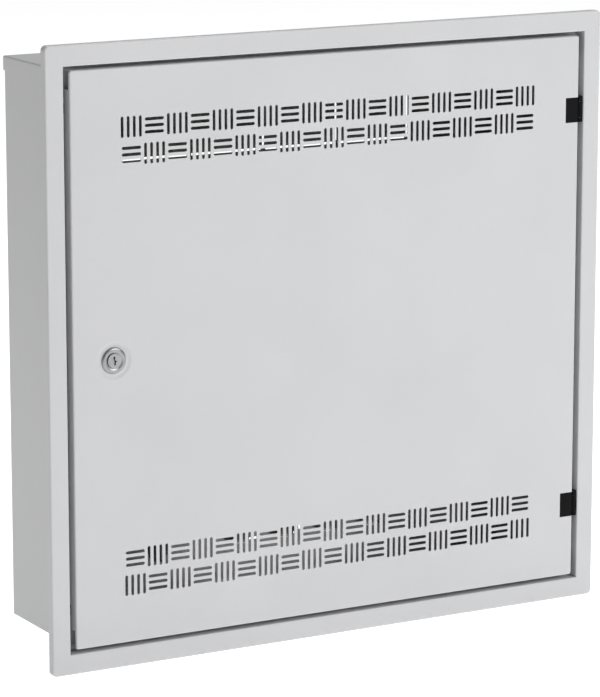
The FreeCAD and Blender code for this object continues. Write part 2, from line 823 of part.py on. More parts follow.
def lock_body():
    """Bezel and threaded barrel, bored for the plug."""
    bore = "lock_plug_radius + plug_play"
    barrel = f"{BARREL_BACK} - {SEAT}"
    return turned(
        "Y",
        (LOCK_X, SEAT, "0"),
        [
            (bore, "-lock_bezel"),
            ("lock_bezel_radius - 1.6", "-lock_bezel"),
            ("lock_bezel_radius", "-lock_bezel + 1.2"),
            ("lock_bezel_radius", "0"),
            ("lock_barrel_radius", "0"),
            ("lock_barrel_radius", barrel),
            (bore, barrel),
        ],
    )


def lock_plug():
    """The turning plug, with a keyway in its face and a square tail for the cam."""
    front = f"{SEAT} - lock_bezel - 0.2"
    plug = rod("Y", "lock_plug_radius", f"({CAM_FRONT}) - ({front})", (LOCK_X, front, "0"))
    half = "lock_square / 2"
    wide = (f"{LOCK_X} - {half}", f"{LOCK_X} + {half}")
    tail = block(wide, (f"{CAM_FRONT} - 0.5", f"{CAM_FRONT} + cam_sheet"), both(half))
    deep = (f"{front} - 1", f"{front} + 13")
    keyway = [
        block((f"{LOCK_X} - 1.3", f"{LOCK_X} + 0.5"), deep, ("-0.4", "4.2")),
        block((f"{LOCK_X} - 0.5", f"{LOCK_X} + 1.1"), deep, ("-4.2", "0.6")),
        block((f"{LOCK_X} + 0.9", f"{LOCK_X} + 2.1"), deep, ("-1.4", "0.1")),
    ]
    screw_hole = rod("Y", "1.6", "9", (LOCK_X, f"{CAM_FRONT} - 6", "0"))
    return cut(joined(plug, tail), *keyway, screw_hole)


def lock_nut():
    """Thin nut that pulls the lock into its seat."""
    at = (LOCK_X, SEAT_BACK, "0")
    bore = rod("Y", "lock_barrel_radius", "6", (LOCK_X, f"{SEAT_BACK} - 1", "0"))
    return cut(hexagon("Y", "13", "4", at), bore)


def lock_cam():
    """Flat cam, hanging down when unlocked. A quarter turn puts it behind the stop lip."""
    y = (CAM_FRONT, f"{CAM_FRONT} + cam_sheet")
    arm = block((f"{LOCK_X} - cam_width / 2", f"{LOCK_X} + cam_width / 2"), y, ("-cam_length", "0"))
    arm = rounded(arm, "stud_radius", lambda e: runs_along("Y")(e) and e.BoundBox.ZMax < -1)
    eye = rod("Y", "cam_width / 2", "cam_sheet", (LOCK_X, CAM_FRONT, "0"))
    half = "lock_square / 2"
    wide = (f"{LOCK_X} - {half}", f"{LOCK_X} + {half}")
    square = block(wide, (f"{CAM_FRONT} - 1", f"{CAM_FRONT} + cam_sheet + 1"), both(half))
    return cut(joined(arm, eye), square)


def lock_cam_screw():
    head = rod("Y", "5", "2.2", (LOCK_X, f"{CAM_FRONT} + cam_sheet", "0"))
    shank = rod("Y", "1.6", "7", (LOCK_X, f"{CAM_FRONT} + cam_sheet - 6.5", "0"))
    deep = (f"{CAM_FRONT} + cam_sheet + 1.2", f"{CAM_FRONT} + cam_sheet + 3")
    drive = block((f"{LOCK_X} - 0.5", f"{LOCK_X} + 0.5"), deep, both("6"))
    return cut(joined(head, shank), drive)


# ---------------------------------------------------------------- rails and brackets

RAIL_FRONT = "(-sheet - rail_depth)"
BARS = ("supply", "return")
RAILS_UP = ("upper_rail_up", "lower_rail_up")


def rail(up):
    """C-shaped rail on the back wall, open to the front, with a screw hole near each end."""
    half = "rail_height / 2"
    outer = block(both("rail_length / 2"), (RAIL_FRONT, "-sheet"), (f"{up} - {half}", f"{up} + {half}"))
    hollow = block(
        both("rail_length / 2 + 1"),
        (f"{RAIL_FRONT} + rail_sheet", "-sheet - rail_sheet"),
        (f"{up} - {half} + rail_sheet", f"{up} + {half} - rail_sheet"),
    )
    mouth = block(
        both("rail_length / 2 + 1"),
        (f"{RAIL_FRONT} - 1", "-sheet - rail_sheet"),
        (f"{up} - rail_mouth / 2", f"{up} + rail_mouth / 2"),
    )
    holes = [
        rod("Y", "2.2", "rail_sheet + 2", (f"{side} * (rail_length / 2 - 15)", "-sheet - rail_sheet - 1", up))
        for side in SIDES
    ]
    return cut(outer, hollow, mouth, *holes)


def rail_screws():
    """Pan-headed screws that fix the rails to the back wall."""
    made = []
    for up in RAILS_UP:
        for side in SIDES:
            x = f"{side} * (rail_length / 2 - 15)"
            head = cone("-Y", "4", "3", "2.4", (x, "-sheet - rail_sheet", up))
            shank = rod("-Y", "2.1", "rail_sheet", (x, "-sheet", up))
            made.append(joined(head, shank))
    return made


def ring_half(name, x, side):
    """Half of the ring round a bar's liner with its two ears; side 1 is the half towards the wall."""
    y, z = f"-{name}_in", f"{name}_up"
    inner = "(bar_radius + liner)"
    outer = f"({inner} + clamp_wall)"
    wide = (f"{x} - bracket_width / 2", f"{x} + bracket_width / 2")
    ring = rod("X", outer, "bracket_width", (wide[0], y, z))
    ears = []
    for s in SIDES:
        middle = f"{z} + {s} * ({outer} + clamp_ear / 2 - 1)"
        tall = (f"{middle} - clamp_ear / 2", f"{middle} + clamp_ear / 2")
        ears.append(block(wide, (f"{y} - clamp_ear_half", f"{y} + clamp_ear_half"), tall))
    bore = rod("X", inner, "bracket_width + 2", (f"{wide[0]} - 1", y, z))
    holes = [
        rod("Y", "2", "12", (x, f"{y} - 6", f"{z} + {s} * ({outer} + clamp_ear / 2)")) for s in SIDES
    ]
    far = "60"
    kept = (f"{y} + 0.2", f"{y} + {far}") if side == 1 else (f"{y} - {far}", f"{y} - 0.2")
    half = doc.addObject("Part::Common", "Half")
    half.Base = cut(joined(ring, *ears), bore, *holes)
    half.Tool = block((f"{wide[0]} - 1", f"{wide[1]} + 1"), kept, (f"{z} - 60", f"{z} + 60"))
    return half


def bracket(x):
    """Steel strip across both rails, with an arm and half a ring for each bar."""
    wide = (f"{x} - bracket_width / 2", f"{x} + bracket_width / 2")
    strip_front = f"({RAIL_FRONT} - bracket_sheet)"
    strip = block(wide, (strip_front, RAIL_FRONT), ("lower_rail_up - 12", "upper_rail_up + 12"))
    pieces = [strip]
    for name in BARS:
        reach = f"-{name}_in + bar_radius + liner + clamp_wall - 1"
        z = f"{name}_up"
        arm = (reach, f"{strip_front} + 1")
        pieces.append(ring_half(name, x, 1))
        pieces.append(block(wide, arm, (f"{z} - bracket_sheet / 2", f"{z} + bracket_sheet / 2")))
        thin = (f"{x} - bracket_sheet / 2", f"{x} + bracket_sheet / 2")
        pieces.append(block(thin, arm, (f"{z} - 9", f"{z} + 9")))
    holes = [rod("Y", "bracket_bolt_radius + 0.2", "8", (x, f"{strip_front} - 2", up)) for up in RAILS_UP]
    return cut(joined(*pieces), *holes)


def bracket_places():
    return [f"{side} * bracket_across" for side in SIDES]


def clamp_caps():
    return [ring_half(name, x, -1) for name in BARS for x in bracket_places()]


def clamp_liners():
    """Rubber rings between the bars and their clamps."""
    made = []
    for name in BARS:
        for x in bracket_places():
            at = (f"{x} - bracket_width / 2 - 1", f"-{name}_in", f"{name}_up")
            inside = (f"{x} - bracket_width / 2 - 2", at[1], at[2])
            ring = rod("X", "bar_radius + liner", "bracket_width + 2", at)
            made.append(cut(ring, rod("X", "bar_radius", "bracket_width + 4", inside)))
    return made


def clamp_screws():
    made = []
    for name in BARS:
        for x in bracket_places():
            for s in SIDES:
                z = f"{name}_up + {s} * (bar_radius + liner + clamp_wall + clamp_ear / 2)"
                head = rod("Y", "3.6", "3", (x, f"-{name}_in - clamp_ear_half - 3", z))
                socket = hexagon("Y", "1.9", "3", (x, f"-{name}_in - clamp_ear_half - 4", z))
                shank = rod("Y", "2", "8.4", (x, f"-{name}_in - clamp_ear_half - 1", z))
                made.append(cut(joined(head, shank), socket))
    return made


def bracket_bolts():
    """Hexagon bolts through the brackets into nuts in the rails."""
    made = []
    for x in bracket_places():
        for up in RAILS_UP:
            front = f"{RAIL_FRONT} - bracket_sheet"
            washer = rod("-Y", "6.5", "1.2", (x, front, up))
            head = hexagon("-Y", "5.8", "4", (x, f"{front} - 1.2", up))
            shank = rod("Y", "bracket_bolt_radius", "bracket_sheet + 8", (x, f"{front} - 0.5", up))
            made.append(joined(washer, head, shank))
    return made


def rail_nuts():
    """Square nuts held behind the rails' lips."""
    made = []
    for x in bracket_places():
        for up in RAILS_UP:
            y = (f"{RAIL_FRONT} + rail_sheet", f"{RAIL_FRONT} + rail_sheet + 4")
            half = "rail_height / 2 - rail_sheet - 1.5"
            nut = block((f"{x} - 8", f"{x} + 8"), y, (f"{up} - ({half})", f"{up} + {half}"))
            made.append(cut(nut, rod("Y", "bracket_bolt_radius", "8", (x, f"{y[0]} - 2", up))))
    return made


# ---------------------------------------------------------------- manifold bars

PORTS = [f"{step} * port_pitch" for step in ("-1.5", "-0.5", "0.5", "1.5")]
BAR_END = "(bar_length / 2 + thread_length)"


def bar(name):
    """A tube with four ports up and four down, and a male thread on each end."""
    y, z = f"-{name}_in", f"{name}_up"
    tube = rod("X", "bar_radius", "bar_length", ("-bar_length / 2", y, z))
    ends = rod("X", "thread_radius", f"2 * {BAR_END}", (f"-{BAR_END}", y, z))
    bosses = [rod(axis, "port_radius", "port_height", (x, y, z)) for x in PORTS for axis in ("Z", "-Z")]
    bore = rod("X", "bar_radius - bar_wall", f"2 * {BAR_END} + 2", (f"-{BAR_END} - 1", y, z))
    drills = [rod("Z", "port_bore", "2 * port_height + 2", (x, y, f"{z} - port_height - 1")) for x in PORTS]
    return cut(joined(tube, ends, *bosses), bore, *drills)


def adapters(name):
    """Nipples for the floor pipes, under each lower port."""
    made = []
    for x in PORTS:
        at = (x, f"-{name}_in", f"{name}_up - port_height")
        collar = hexagon("-Z", "adapter_hex", "adapter_collar", at)
        neck = rod("-Z", "adapter_neck", "adapter_collar + adapter_length", at)
        below = (x, at[1], f"{at[2]} - adapter_collar - adapter_relief")
        thread = rod("-Z", "adapter_radius", "adapter_length - adapter_relief", below)
        bore = rod("-Z", "port_bore", "adapter_collar + adapter_length + 2", (x, at[1], f"{at[2]} + 1"))
        made.append(cut(joined(collar, neck, thread), bore))
    return made


# ---------------------------------------------------------------- flow meters on the supply bar

METER_FOOT = "supply_up + port_height"


def meter_base(x):
    """Hexagonal foot with a spigot for the sight glass."""
    at = (x, "-supply_in", METER_FOOT)
    foot = hexagon("Z", "14", "meter_base", at)
    spigot = rod("Z", "meter_glass_radius - meter_glass_wall", "meter_base + 5", at)
    bore = rod("Z", "4", "meter_base + 8", (x, at[1], f"{METER_FOOT} - 1"))
    return cut(joined(foot, spigot), bore)


def meter_ring(x):
    """Adjusting ring that turns round the foot of the glass."""
    play = "0.2"
    outer = "meter_ring_radius"
    inner = "meter_glass_radius + meter_play"
    return turned(
        "Z",
        (x, "-supply_in", f"{METER_FOOT} + meter_base + {play}"),
        [
            (inner, "0"),
            (outer, "0"),
            (outer, "meter_ring_height - 2"),
            (f"{outer} - 1.5", "meter_ring_height"),
            (inner, "meter_ring_height"),
        ],
    )


def meter_glass(x):
    """Sight glass: a tube closed by a stepped top."""
    outer = "meter_glass_radius"
    inner = "(meter_glass_radius - meter_glass_wall)"
    top = "(meter_height - port_height - meter_base)"
    return turned(
        "Z",
        (x, "-supply_in", f"{METER_FOOT} + meter_base"),
        [
            (inner, "0"),
            (outer, "0"),
            (outer, f"{top} - 3"),
            (f"{outer} - 2.5", top),
            ("0", top),
            ("0", f"{top} - 2.5"),
            (inner, f"{top} - 2.5"),
        ],
    )


def meter_indicator(x):
    """Rod and disc that rise with the flow."""
    foot = f"{METER_FOOT} + meter_base + 7"
    stalk = rod("Z", "1.3", "26", (x, "-supply_in", foot))
    disc = rod("Z", "5.6", "3", (x, "-supply_in", f"{foot} + 12"))
    return joined(stalk, disc)


# ---------------------------------------------------------------- valves on the return bar

VALVE_FOOT = "return_up + port_height"
CAP_FOOT = "return_up + port_height + insert_hex + cap_travel + 0.4"


def valve_insert(x):
    """Brass insert: hexagon, thread for the cap, and the gland that guides the spindle."""
    at = (x, "-return_in", VALVE_FOOT)
    hexed = hexagon("Z", "14", "insert_hex", at)
    threaded = rod("Z", "valve_thread_radius - cap_thread_play", "insert_hex + 10", at)
    gland = rod("Z", "6", "insert_hex + 15", at)
    bore = rod("Z", "spindle_radius + spindle_play", "insert_hex + 20", (x, at[1], f"{VALVE_FOOT} - 1"))
    return cut(joined(hexed, threaded, gland), bore)


def valve_spindle(x):
    """Sprung pin that the hand cap pushes down to close the valve."""
    foot = f"{VALVE_FOOT} + 2 + cap_travel"
    return rod("Z", "spindle_radius", f"{CAP_FOOT} + hand_cap_height - 4 - ({foot})", (x, "-return_in", foot))


def hand_cap(x):
    """Hand cap that screws down on the insert, hollow underneath."""
    foot = CAP_FOOT
    outer = "hand_cap_radius"
    inner = "valve_thread_radius"
    return turned(
        "Z",
        (x, "-return_in", foot),
        [
            (inner, "0"),
            (outer, "0"),
            (outer, "hand_cap_height - 4"),
            (f"{outer} - 2.5", "hand_cap_height"),
            ("0", "hand_cap_height"),
            ("0", "hand_cap_height - 4"),
            (f"{inner} - 3", "hand_cap_height - 4"),
            (inner, "hand_cap_height - 8"),
        ],
    )


# ---------------------------------------------------------------- union nuts, ball valves and end pieces


def union_nuts():
    """One on each end of each bar, bored over the thread, with a lip that holds the fitting's flange."""
    made = []
    for name in BARS:
        for side, axis in (("-1", "-X"), ("1", "X")):
            start = f"{side} * (bar_length / 2 + 1)"
            y, z = f"-{name}_in", f"{name}_up"
            body = hexagon(axis, "nut_radius", "nut_length", (start, y, z))
            over_thread = rod(axis, "thread_radius", "nut_length - 3", (start, y, z))
            neck = rod(axis, "thread_radius - 3", "nut_length + 2", (start, y, z))
            made.append(cut(body, over_thread, neck))
    return made


def gaskets():
    made = []
    for name in BARS:
        for side, axis in (("-1", "-X"), ("1", "X")):
            at = (f"{side} * {BAR_END}", f"-{name}_in", f"{name}_up")
            disc = rod(axis, "thread_radius - 0.5", "gasket", at)
            made.append(cut(disc, rod(axis, "ball_bore + 1", "gasket", at)))
    return made


FLANGE = f"({BAR_END} + gasket)"
BALL_X = f"({FLANGE} + 6 + valve_body_radius)"


def valve_body(name):
    """Ball valve body: flange and neck in the union nut, ball chamber, and a female thread for the pipe."""
    y, z = f"-{name}_in", f"{name}_up"
    chamber = "(ball_radius + ball_play)"
    start, middle = "0", "(6 + valve_body_radius)"
    end = f"({middle} + valve_body_radius + inlet_depth)"
    outer = [
        ("ball_bore", start),
        ("thread_radius - 0.4", start),
        ("thread_radius - 0.4", "3"),
        ("thread_radius - 3.4", "3"),
        ("thread_radius - 3.4", "8"),
        ("valve_body_radius - 3", "9"),
        ("valve_body_radius", f"{middle} - 10"),
        ("valve_body_radius", f"{middle} + 10"),
        ("valve_body_radius - 1.5", f"{middle} + 16"),
        ("valve_body_radius - 1.5", end),
    ]
    inner = [
        ("inlet_radius", end),
        ("inlet_radius", f"{end} - inlet_depth"),
        ("ball_bore", f"{end} - inlet_depth"),
        ("ball_bore", f"{middle} + {chamber}"),
        (chamber, f"{middle} + {chamber}"),
        (chamber, f"{middle} - {chamber}"),
        ("ball_bore", f"{middle} - {chamber}"),
    ]
    body = turned("X", (FLANGE, y, z), outer + inner)
    boss = rod("-Y", "9", "24", (BALL_X, y, z))
    room = rod("X", chamber, f"2 * {chamber}", (f"{BALL_X} - {chamber}", y, z))
    stem_hole = rod("-Y", "stem_radius + stem_play", "26", (BALL_X, y, z))
    end_x = f"{BALL_X} + valve_body_radius + inlet_depth"
    hexed = hexagon("X", "valve_body_radius + 1.5", "10", (f"{end_x} - 10", y, z))
    inlet = rod("X", "inlet_radius", "20", (f"{BALL_X} + valve_body_radius", y, z))
    return cut(joined(body, boss, hexed), room, stem_hole, inlet)


def valve_ball(name):
    """Bored ball, with a socket for the stem."""
    at = (BALL_X, f"-{name}_in", f"{name}_up")
    bore = rod("X", "ball_bore", "2 * ball_radius + 2", (f"{BALL_X} - ball_radius - 1", at[1], at[2]))
    socket = rod("-Y", "stem_radius", "8", (BALL_X, f"{at[1]} - ball_bore - 2", at[2]))
    return cut(ball("X", "ball_radius", at), bore, socket)


def valve_stem(name):
    """Round stem from the ball to the handle."""
    start = "(ball_bore + 2)"
    return rod("-Y", "stem_radius", f"stem_out - {start}", (BALL_X, f"-{name}_in - {start}", f"{name}_up"))


def valve_handle(name):
    """Butterfly handle, in line with the pipe when the valve is open."""
    y, z = f"-{name}_in - 24.4", f"{name}_up"
    hub = rod("-Y", "10", "handle_thickness + 1.5", (BALL_X, y, z))
    wings = block(
        (f"{BALL_X} - handle_length / 2", f"{BALL_X} + handle_length / 2"),
        (f"{y} - handle_thickness", y),
        (f"{z} - handle_height / 2", f"{z} + handle_height / 2"),
    )
    wings = rounded(wings, "frame_corner", runs_along("Y"))
    bore = rod("-Y", "stem_radius", "20", (BALL_X, f"{y} + 1", z))
    return cut(joined(hub, wings), bore)


def end_piece(name):
    """Closed end fitting with a port up for the air vent and a port down for the drain cock."""
    y, z = f"-{name}_in", f"{name}_up"
    long = "end_piece_length"
    body = turned(
        "-X",
        (f"-{FLANGE}", y, z),
        [
            ("ball_bore", "0"),
            ("thread_radius - 0.4", "0"),
            ("thread_radius - 0.4", "3"),
            ("thread_radius - 3.4", "3"),
            ("thread_radius - 3.4", "8"),
            ("thread_radius - 1", "9"),
            ("thread_radius - 1", f"{long} - 3"),
            ("thread_radius - 4", long),
            ("0", long),
            ("0", f"{long} - 4"),
            ("ball_bore", f"{long} - 4"),
        ],
    )
    x = END_PORT_X
    bosses = [rod(axis, "vent_radius + 1.5", "thread_radius + 3", (x, y, z)) for axis in ("Z", "-Z")]
    hollow = rod("-X", "ball_bore", f"{long} - 5", (f"-{FLANGE} - 1", y, z))
    drill = rod("Z", "end_port_radius", "2 * thread_radius + 8", (x, y, f"{z} - thread_radius - 4"))
    return cut(joined(body, *bosses), hollow, drill)


END_PORT_X = f"(-{FLANGE} - end_piece_length / 2 - 5)"


def vent_body(name):
    """Air vent screwed into the end piece."""
    foot = f"{name}_up + thread_radius + 3"
    y = f"-{name}_in"
    hexed = hexagon("Z", "vent_radius + 2", "6", (END_PORT_X, y, foot))
    barrel = rod("Z", "vent_radius", "vent_height", (END_PORT_X, y, foot))
    neck = rod("Z", "3", "vent_height + 4", (END_PORT_X, y, foot))
    spigot = rod("-Z", "end_port_radius", "6", (END_PORT_X, y, foot))
    return joined(hexed, barrel, neck, spigot)


def vent_cap(name):
    """Small screw cap that lets air out."""
    foot = f"{name}_up + thread_radius + 3 + vent_height + 0.3"
    y = f"-{name}_in"
    cap = rod("Z", "5", "8", (END_PORT_X, y, foot))
    cap = rounded(cap, "vent_cap_edge", lambda e: e.BoundBox.ZMin > number(f"{foot} + 7.9"))
    return cut(cap, rod("Z", "3.06", "4.5", (END_PORT_X, y, f"{foot} - 0.5")))


def drain_body(name):
    """Drain cock with a hose nozzle."""
    y = f"-{name}_in"
    head = f"{name}_up - thread_radius - 3"
    return turned(
        "-Z",
        (END_PORT_X, y, head),
        [
            ("3", "-6"),
            ("end_port_radius", "-6"),
            ("end_port_radius", "0"),
            ("drain_radius + 1.5", "0"),
            ("drain_radius + 1.5", "8"),
            ("drain_radius - 2", "10"),
            ("drain_radius - 2", "14"),
            ("drain_radius", "15"),
            ("drain_radius", "drain_length - 1"),
            ("drain_radius - 1", "drain_length"),
            ("3", "drain_length"),
        ],
    )


def drain_cap(name):
    """Screw cap on the drain's nozzle; its square drive opens the cock."""
    y = f"-{name}_in"
    head = f"{name}_up - thread_radius - 3 - 15.5"
    bore = "(drain_radius + 0.06)"
    cap = turned(
        "-Z",
        (END_PORT_X, y, head),
        [
            (bore, "0"),
            (f"{bore} + 2.4", "0"),
            (f"{bore} + 2.4", "drain_length - 13.5"),
            (f"{bore} + 1.4", "drain_length - 12"),
            ("0", "drain_length - 12"),
            ("0", "drain_length - 15"),
            (bore, "drain_length - 15"),
        ],
    )
    low = f"{head} - drain_length + 12.5"
    drive = block((f"{END_PORT_X} - 3", f"{END_PORT_X} + 3"), (f"{y} - 3", f"{y} + 3"), (f"{low} - 5", low))
    return joined(cap, drive)


# ---------------------------------------------------------------- the assembly


def build():
    part("back_shell", back_shell())
    part("top_cap", top_cap())
    part("bottom_cap", bottom_cap())
    part("front_frame", front_frame())
    part("frame_fixings", grouped(clamp_bolts() + wing_nuts()))
    part("door_buffers", grouped(door_buffers()))
    part("door", door())
    part("hinge_leaves", grouped([hinge_leaf(up) for up in SIDES]))
    part("hinge_sockets", grouped([hinge_socket(up) for up in SIDES]))
    part("hinge_pins", grouped(hinge_pins()))
    part("hinge_nuts", grouped(hinge_nuts()))
    part("lock_body", lock_body())
    part("lock_plug", lock_plug())
    part("lock_nut", lock_nut())
    part("lock_cam", lock_cam())
    part("lock_cam_screw", lock_cam_screw())
    part("mounting_rails", grouped([rail("upper_rail_up"), rail("lower_rail_up")]))
    part("brackets", grouped([bracket(x) for x in bracket_places()]))
    part("rail_fixings", grouped(rail_screws() + bracket_bolts() + rail_nuts()))
    part("clamp_caps", grouped(clamp_caps()))
    part("clamp_liners", grouped(clamp_liners()))
    part("clamp_screws", grouped(clamp_screws()))
    part("flow_meter_bases", grouped([meter_base(x) for x in PORTS]))
    part("flow_meter_glasses", grouped([meter_glass(x) for x in PORTS]))
    part("return_valve_inserts", grouped([valve_insert(x) for x in PORTS]))
    for i, x in enumerate(PORTS, start=1):
        part(f"flow_ring_{i}", meter_ring(x))
        part(f"flow_indicator_{i}", meter_indicator(x))
        part(f"valve_spindle_{i}", valve_spindle(x))
        part(f"hand_cap_{i}", hand_cap(x))
    part("union_nuts", grouped(union_nuts()))
    part("union_gaskets", grouped(gaskets()))
    part("loop_adapters", grouped(adapters("supply") + adapters("return")))
    part("ball_valve_bodies", grouped([valve_body(name) for name in BARS]))
    part("end_pieces", grouped([end_piece(name) for name in BARS]))
    part("air_vent_bodies", grouped([vent_body(name) for name in BARS]))
    part("drain_cock_bodies", grouped([drain_body(name) for name in BARS]))
    for name in BARS:
        part(f"{name}_bar", bar(name))
        part(f"{name}_valve_ball", valve_ball(name))
        part(f"{name}_valve_stem", valve_stem(name))
        part(f"{name}_valve_handle", valve_handle(name))
        part(f"{name}_air_vent_cap", vent_cap(name))
        part(f"{name}_drain_cap", drain_cap(name))


def check_and_write():
    """Stops if any object failed or any sub-part is faulty, then writes one STEP file for each sub-part."""
    failed = [o.Name for o in doc.Objects if {"Invalid", "Error"} & set(o.State)]
    if failed:
        raise RuntimeError(f"these objects failed: {failed}")
    for thing in subparts:
        if thing.Shape.isNull() or not thing.Shape.isValid() or not thing.Shape.Solids:
            raise RuntimeError(f"{thing.Label} has no sound shape")
    os.makedirs("parts", exist_ok=True)
    for thing in subparts:
        thing.Shape.exportStep(f"parts/{thing.Label}.step")
        print(f"{thing.Label}: {len(thing.Shape.Solids)} solids, {thing.Shape.Volume / 1000:.2f} cm3")


build()
doc.recompute()
check_and_write()
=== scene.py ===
# %% [markdown]
# # A flush-mounted cabinet with an underfloor heating manifold
#
# The cabinet is folded from sheet steel and powder coated. Inside it, two stainless bars carry the
# valves, and every screw, nut and cap is a piece of its own. The solid model gives each piece's place, so
# it is loaded first as a fixed frame, and everything modelled below is put where that frame says, in
# metres.
# %% Load the frame
import json
import math

import bmesh
import bpy
from mathutils import Matrix, Vector


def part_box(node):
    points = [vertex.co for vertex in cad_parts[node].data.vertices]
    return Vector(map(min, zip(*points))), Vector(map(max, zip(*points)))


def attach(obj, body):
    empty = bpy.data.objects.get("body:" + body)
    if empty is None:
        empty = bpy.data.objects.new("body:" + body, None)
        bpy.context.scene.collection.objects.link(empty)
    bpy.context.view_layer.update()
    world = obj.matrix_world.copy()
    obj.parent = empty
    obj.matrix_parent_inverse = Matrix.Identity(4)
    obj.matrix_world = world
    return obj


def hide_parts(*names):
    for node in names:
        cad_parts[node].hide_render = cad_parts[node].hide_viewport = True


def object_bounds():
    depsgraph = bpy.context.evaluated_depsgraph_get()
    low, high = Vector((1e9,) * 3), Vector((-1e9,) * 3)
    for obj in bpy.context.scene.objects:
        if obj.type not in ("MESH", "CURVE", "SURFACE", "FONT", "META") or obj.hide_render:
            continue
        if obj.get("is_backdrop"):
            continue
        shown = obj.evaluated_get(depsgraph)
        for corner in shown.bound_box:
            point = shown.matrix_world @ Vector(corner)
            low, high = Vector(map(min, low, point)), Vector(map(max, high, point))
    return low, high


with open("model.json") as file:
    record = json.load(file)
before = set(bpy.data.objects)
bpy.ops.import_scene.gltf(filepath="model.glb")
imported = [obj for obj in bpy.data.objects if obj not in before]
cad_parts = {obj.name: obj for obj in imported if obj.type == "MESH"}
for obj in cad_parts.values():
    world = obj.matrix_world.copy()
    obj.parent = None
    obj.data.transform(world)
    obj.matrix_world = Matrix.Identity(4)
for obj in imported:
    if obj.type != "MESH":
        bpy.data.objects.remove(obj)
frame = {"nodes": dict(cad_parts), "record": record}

cad_low, cad_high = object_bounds()
print("solid model from", tuple(round(v, 3) for v in cad_low), "to", tuple(round(v, 3) for v in cad_high))

# %% [markdown]
# ## The camera
#
# The cabinet is seen from its lock side and from a little above, with a long lens, so that its upright
# edges stay nearly parallel. The lens could also be shifted to keep them exactly upright, but a shifted
# lens spoils every other view, so it looks straight ahead.
# %% Camera
camera = bpy.data.objects.new("camera", bpy.data.cameras.new("camera"))
bpy.context.scene.collection.objects.link(camera)
camera.data.lens = 186.5
camera.data.sensor_width = 36
camera.data.clip_end = 60
camera.location = (-1.7038, -3.1197, 0.6992)
camera.rotation_euler = (math.radians(90 - 11.72), 0, math.radians(-29.24))
bpy.context.scene.camera = camera
bpy.context.scene.view_settings.view_transform = "Standard"
print("camera", round(camera.location.length, 2), "m from the wall's centre")

# %% [markdown]
# ## Light and floor
#
# White steel shows its folds only if the light is uneven. One large soft lamp stands in front and to the
# right, so the front is brightest and the side behind the lock stays a shade darker; the sky fills in the
# rest. The floor is one wide pale sheet.
# %% Floor
def surface(name, roughness, metallic=0.0):
    """A new material with its shader, ready for its pattern."""
    made = bpy.data.materials.new(name)
    made.use_nodes = True
    shader = made.node_tree.nodes["Principled BSDF"]
    shader.inputs["Roughness"].default_value = roughness
    shader.inputs["Metallic"].default_value = metallic
    return made, shader


floor_finish, floor_shader = surface("pale_floor", 0.9)
floor_shader.inputs["Base Color"].default_value = (0.93, 0.93, 0.93, 1)
floor_shader.inputs["Emission Color"].default_value = (1, 1, 1, 1)
floor_shader.inputs["Emission Strength"].default_value = 0.82
sheet = bmesh.new()
bmesh.ops.create_grid(sheet, x_segments=4, y_segments=4, size=20)
bmesh.ops.translate(sheet, verts=sheet.verts, vec=(0, 0, cad_low.z))
floor = bpy.data.objects.new("floor", bpy.data.meshes.new("floor"))
sheet.to_mesh(floor.data)
sheet.free()
floor.data.materials.append(floor_finish)
bpy.context.scene.collection.objects.link(floor)
floor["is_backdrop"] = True
print("floor at", round(cad_low.z, 3))

# %% Lamps
def lamp(name, place, aim, size, power):
    """A square soft lamp that faces its aim."""
    made = bpy.data.objects.new(name, bpy.data.lights.new(name, "AREA"))
    made.data.size = size
    made.data.energy = power
    made.location = place
    made.rotation_euler = (Vector(place) - Vector(aim)).to_track_quat("Z", "Y").to_euler()
    bpy.context.scene.collection.objects.link(made)
    return made


lamp("front_lamp", (2.4, -4.2, 2.6), (0, 0, 0), 2.6, 163)
lamp("top_lamp", (0.3, 0.6, 3.4), (0, 0, 0), 2.2, 75)
world = bpy.data.worlds.new("sky")
world.use_nodes = True
world.node_tree.nodes["Background"].inputs["Color"].default_value = (0.985, 0.99, 1.0, 1)
world.node_tree.nodes["Background"].inputs["Strength"].default_value = 0.08
bpy.context.scene.world = world
print("two lamps and a sky")

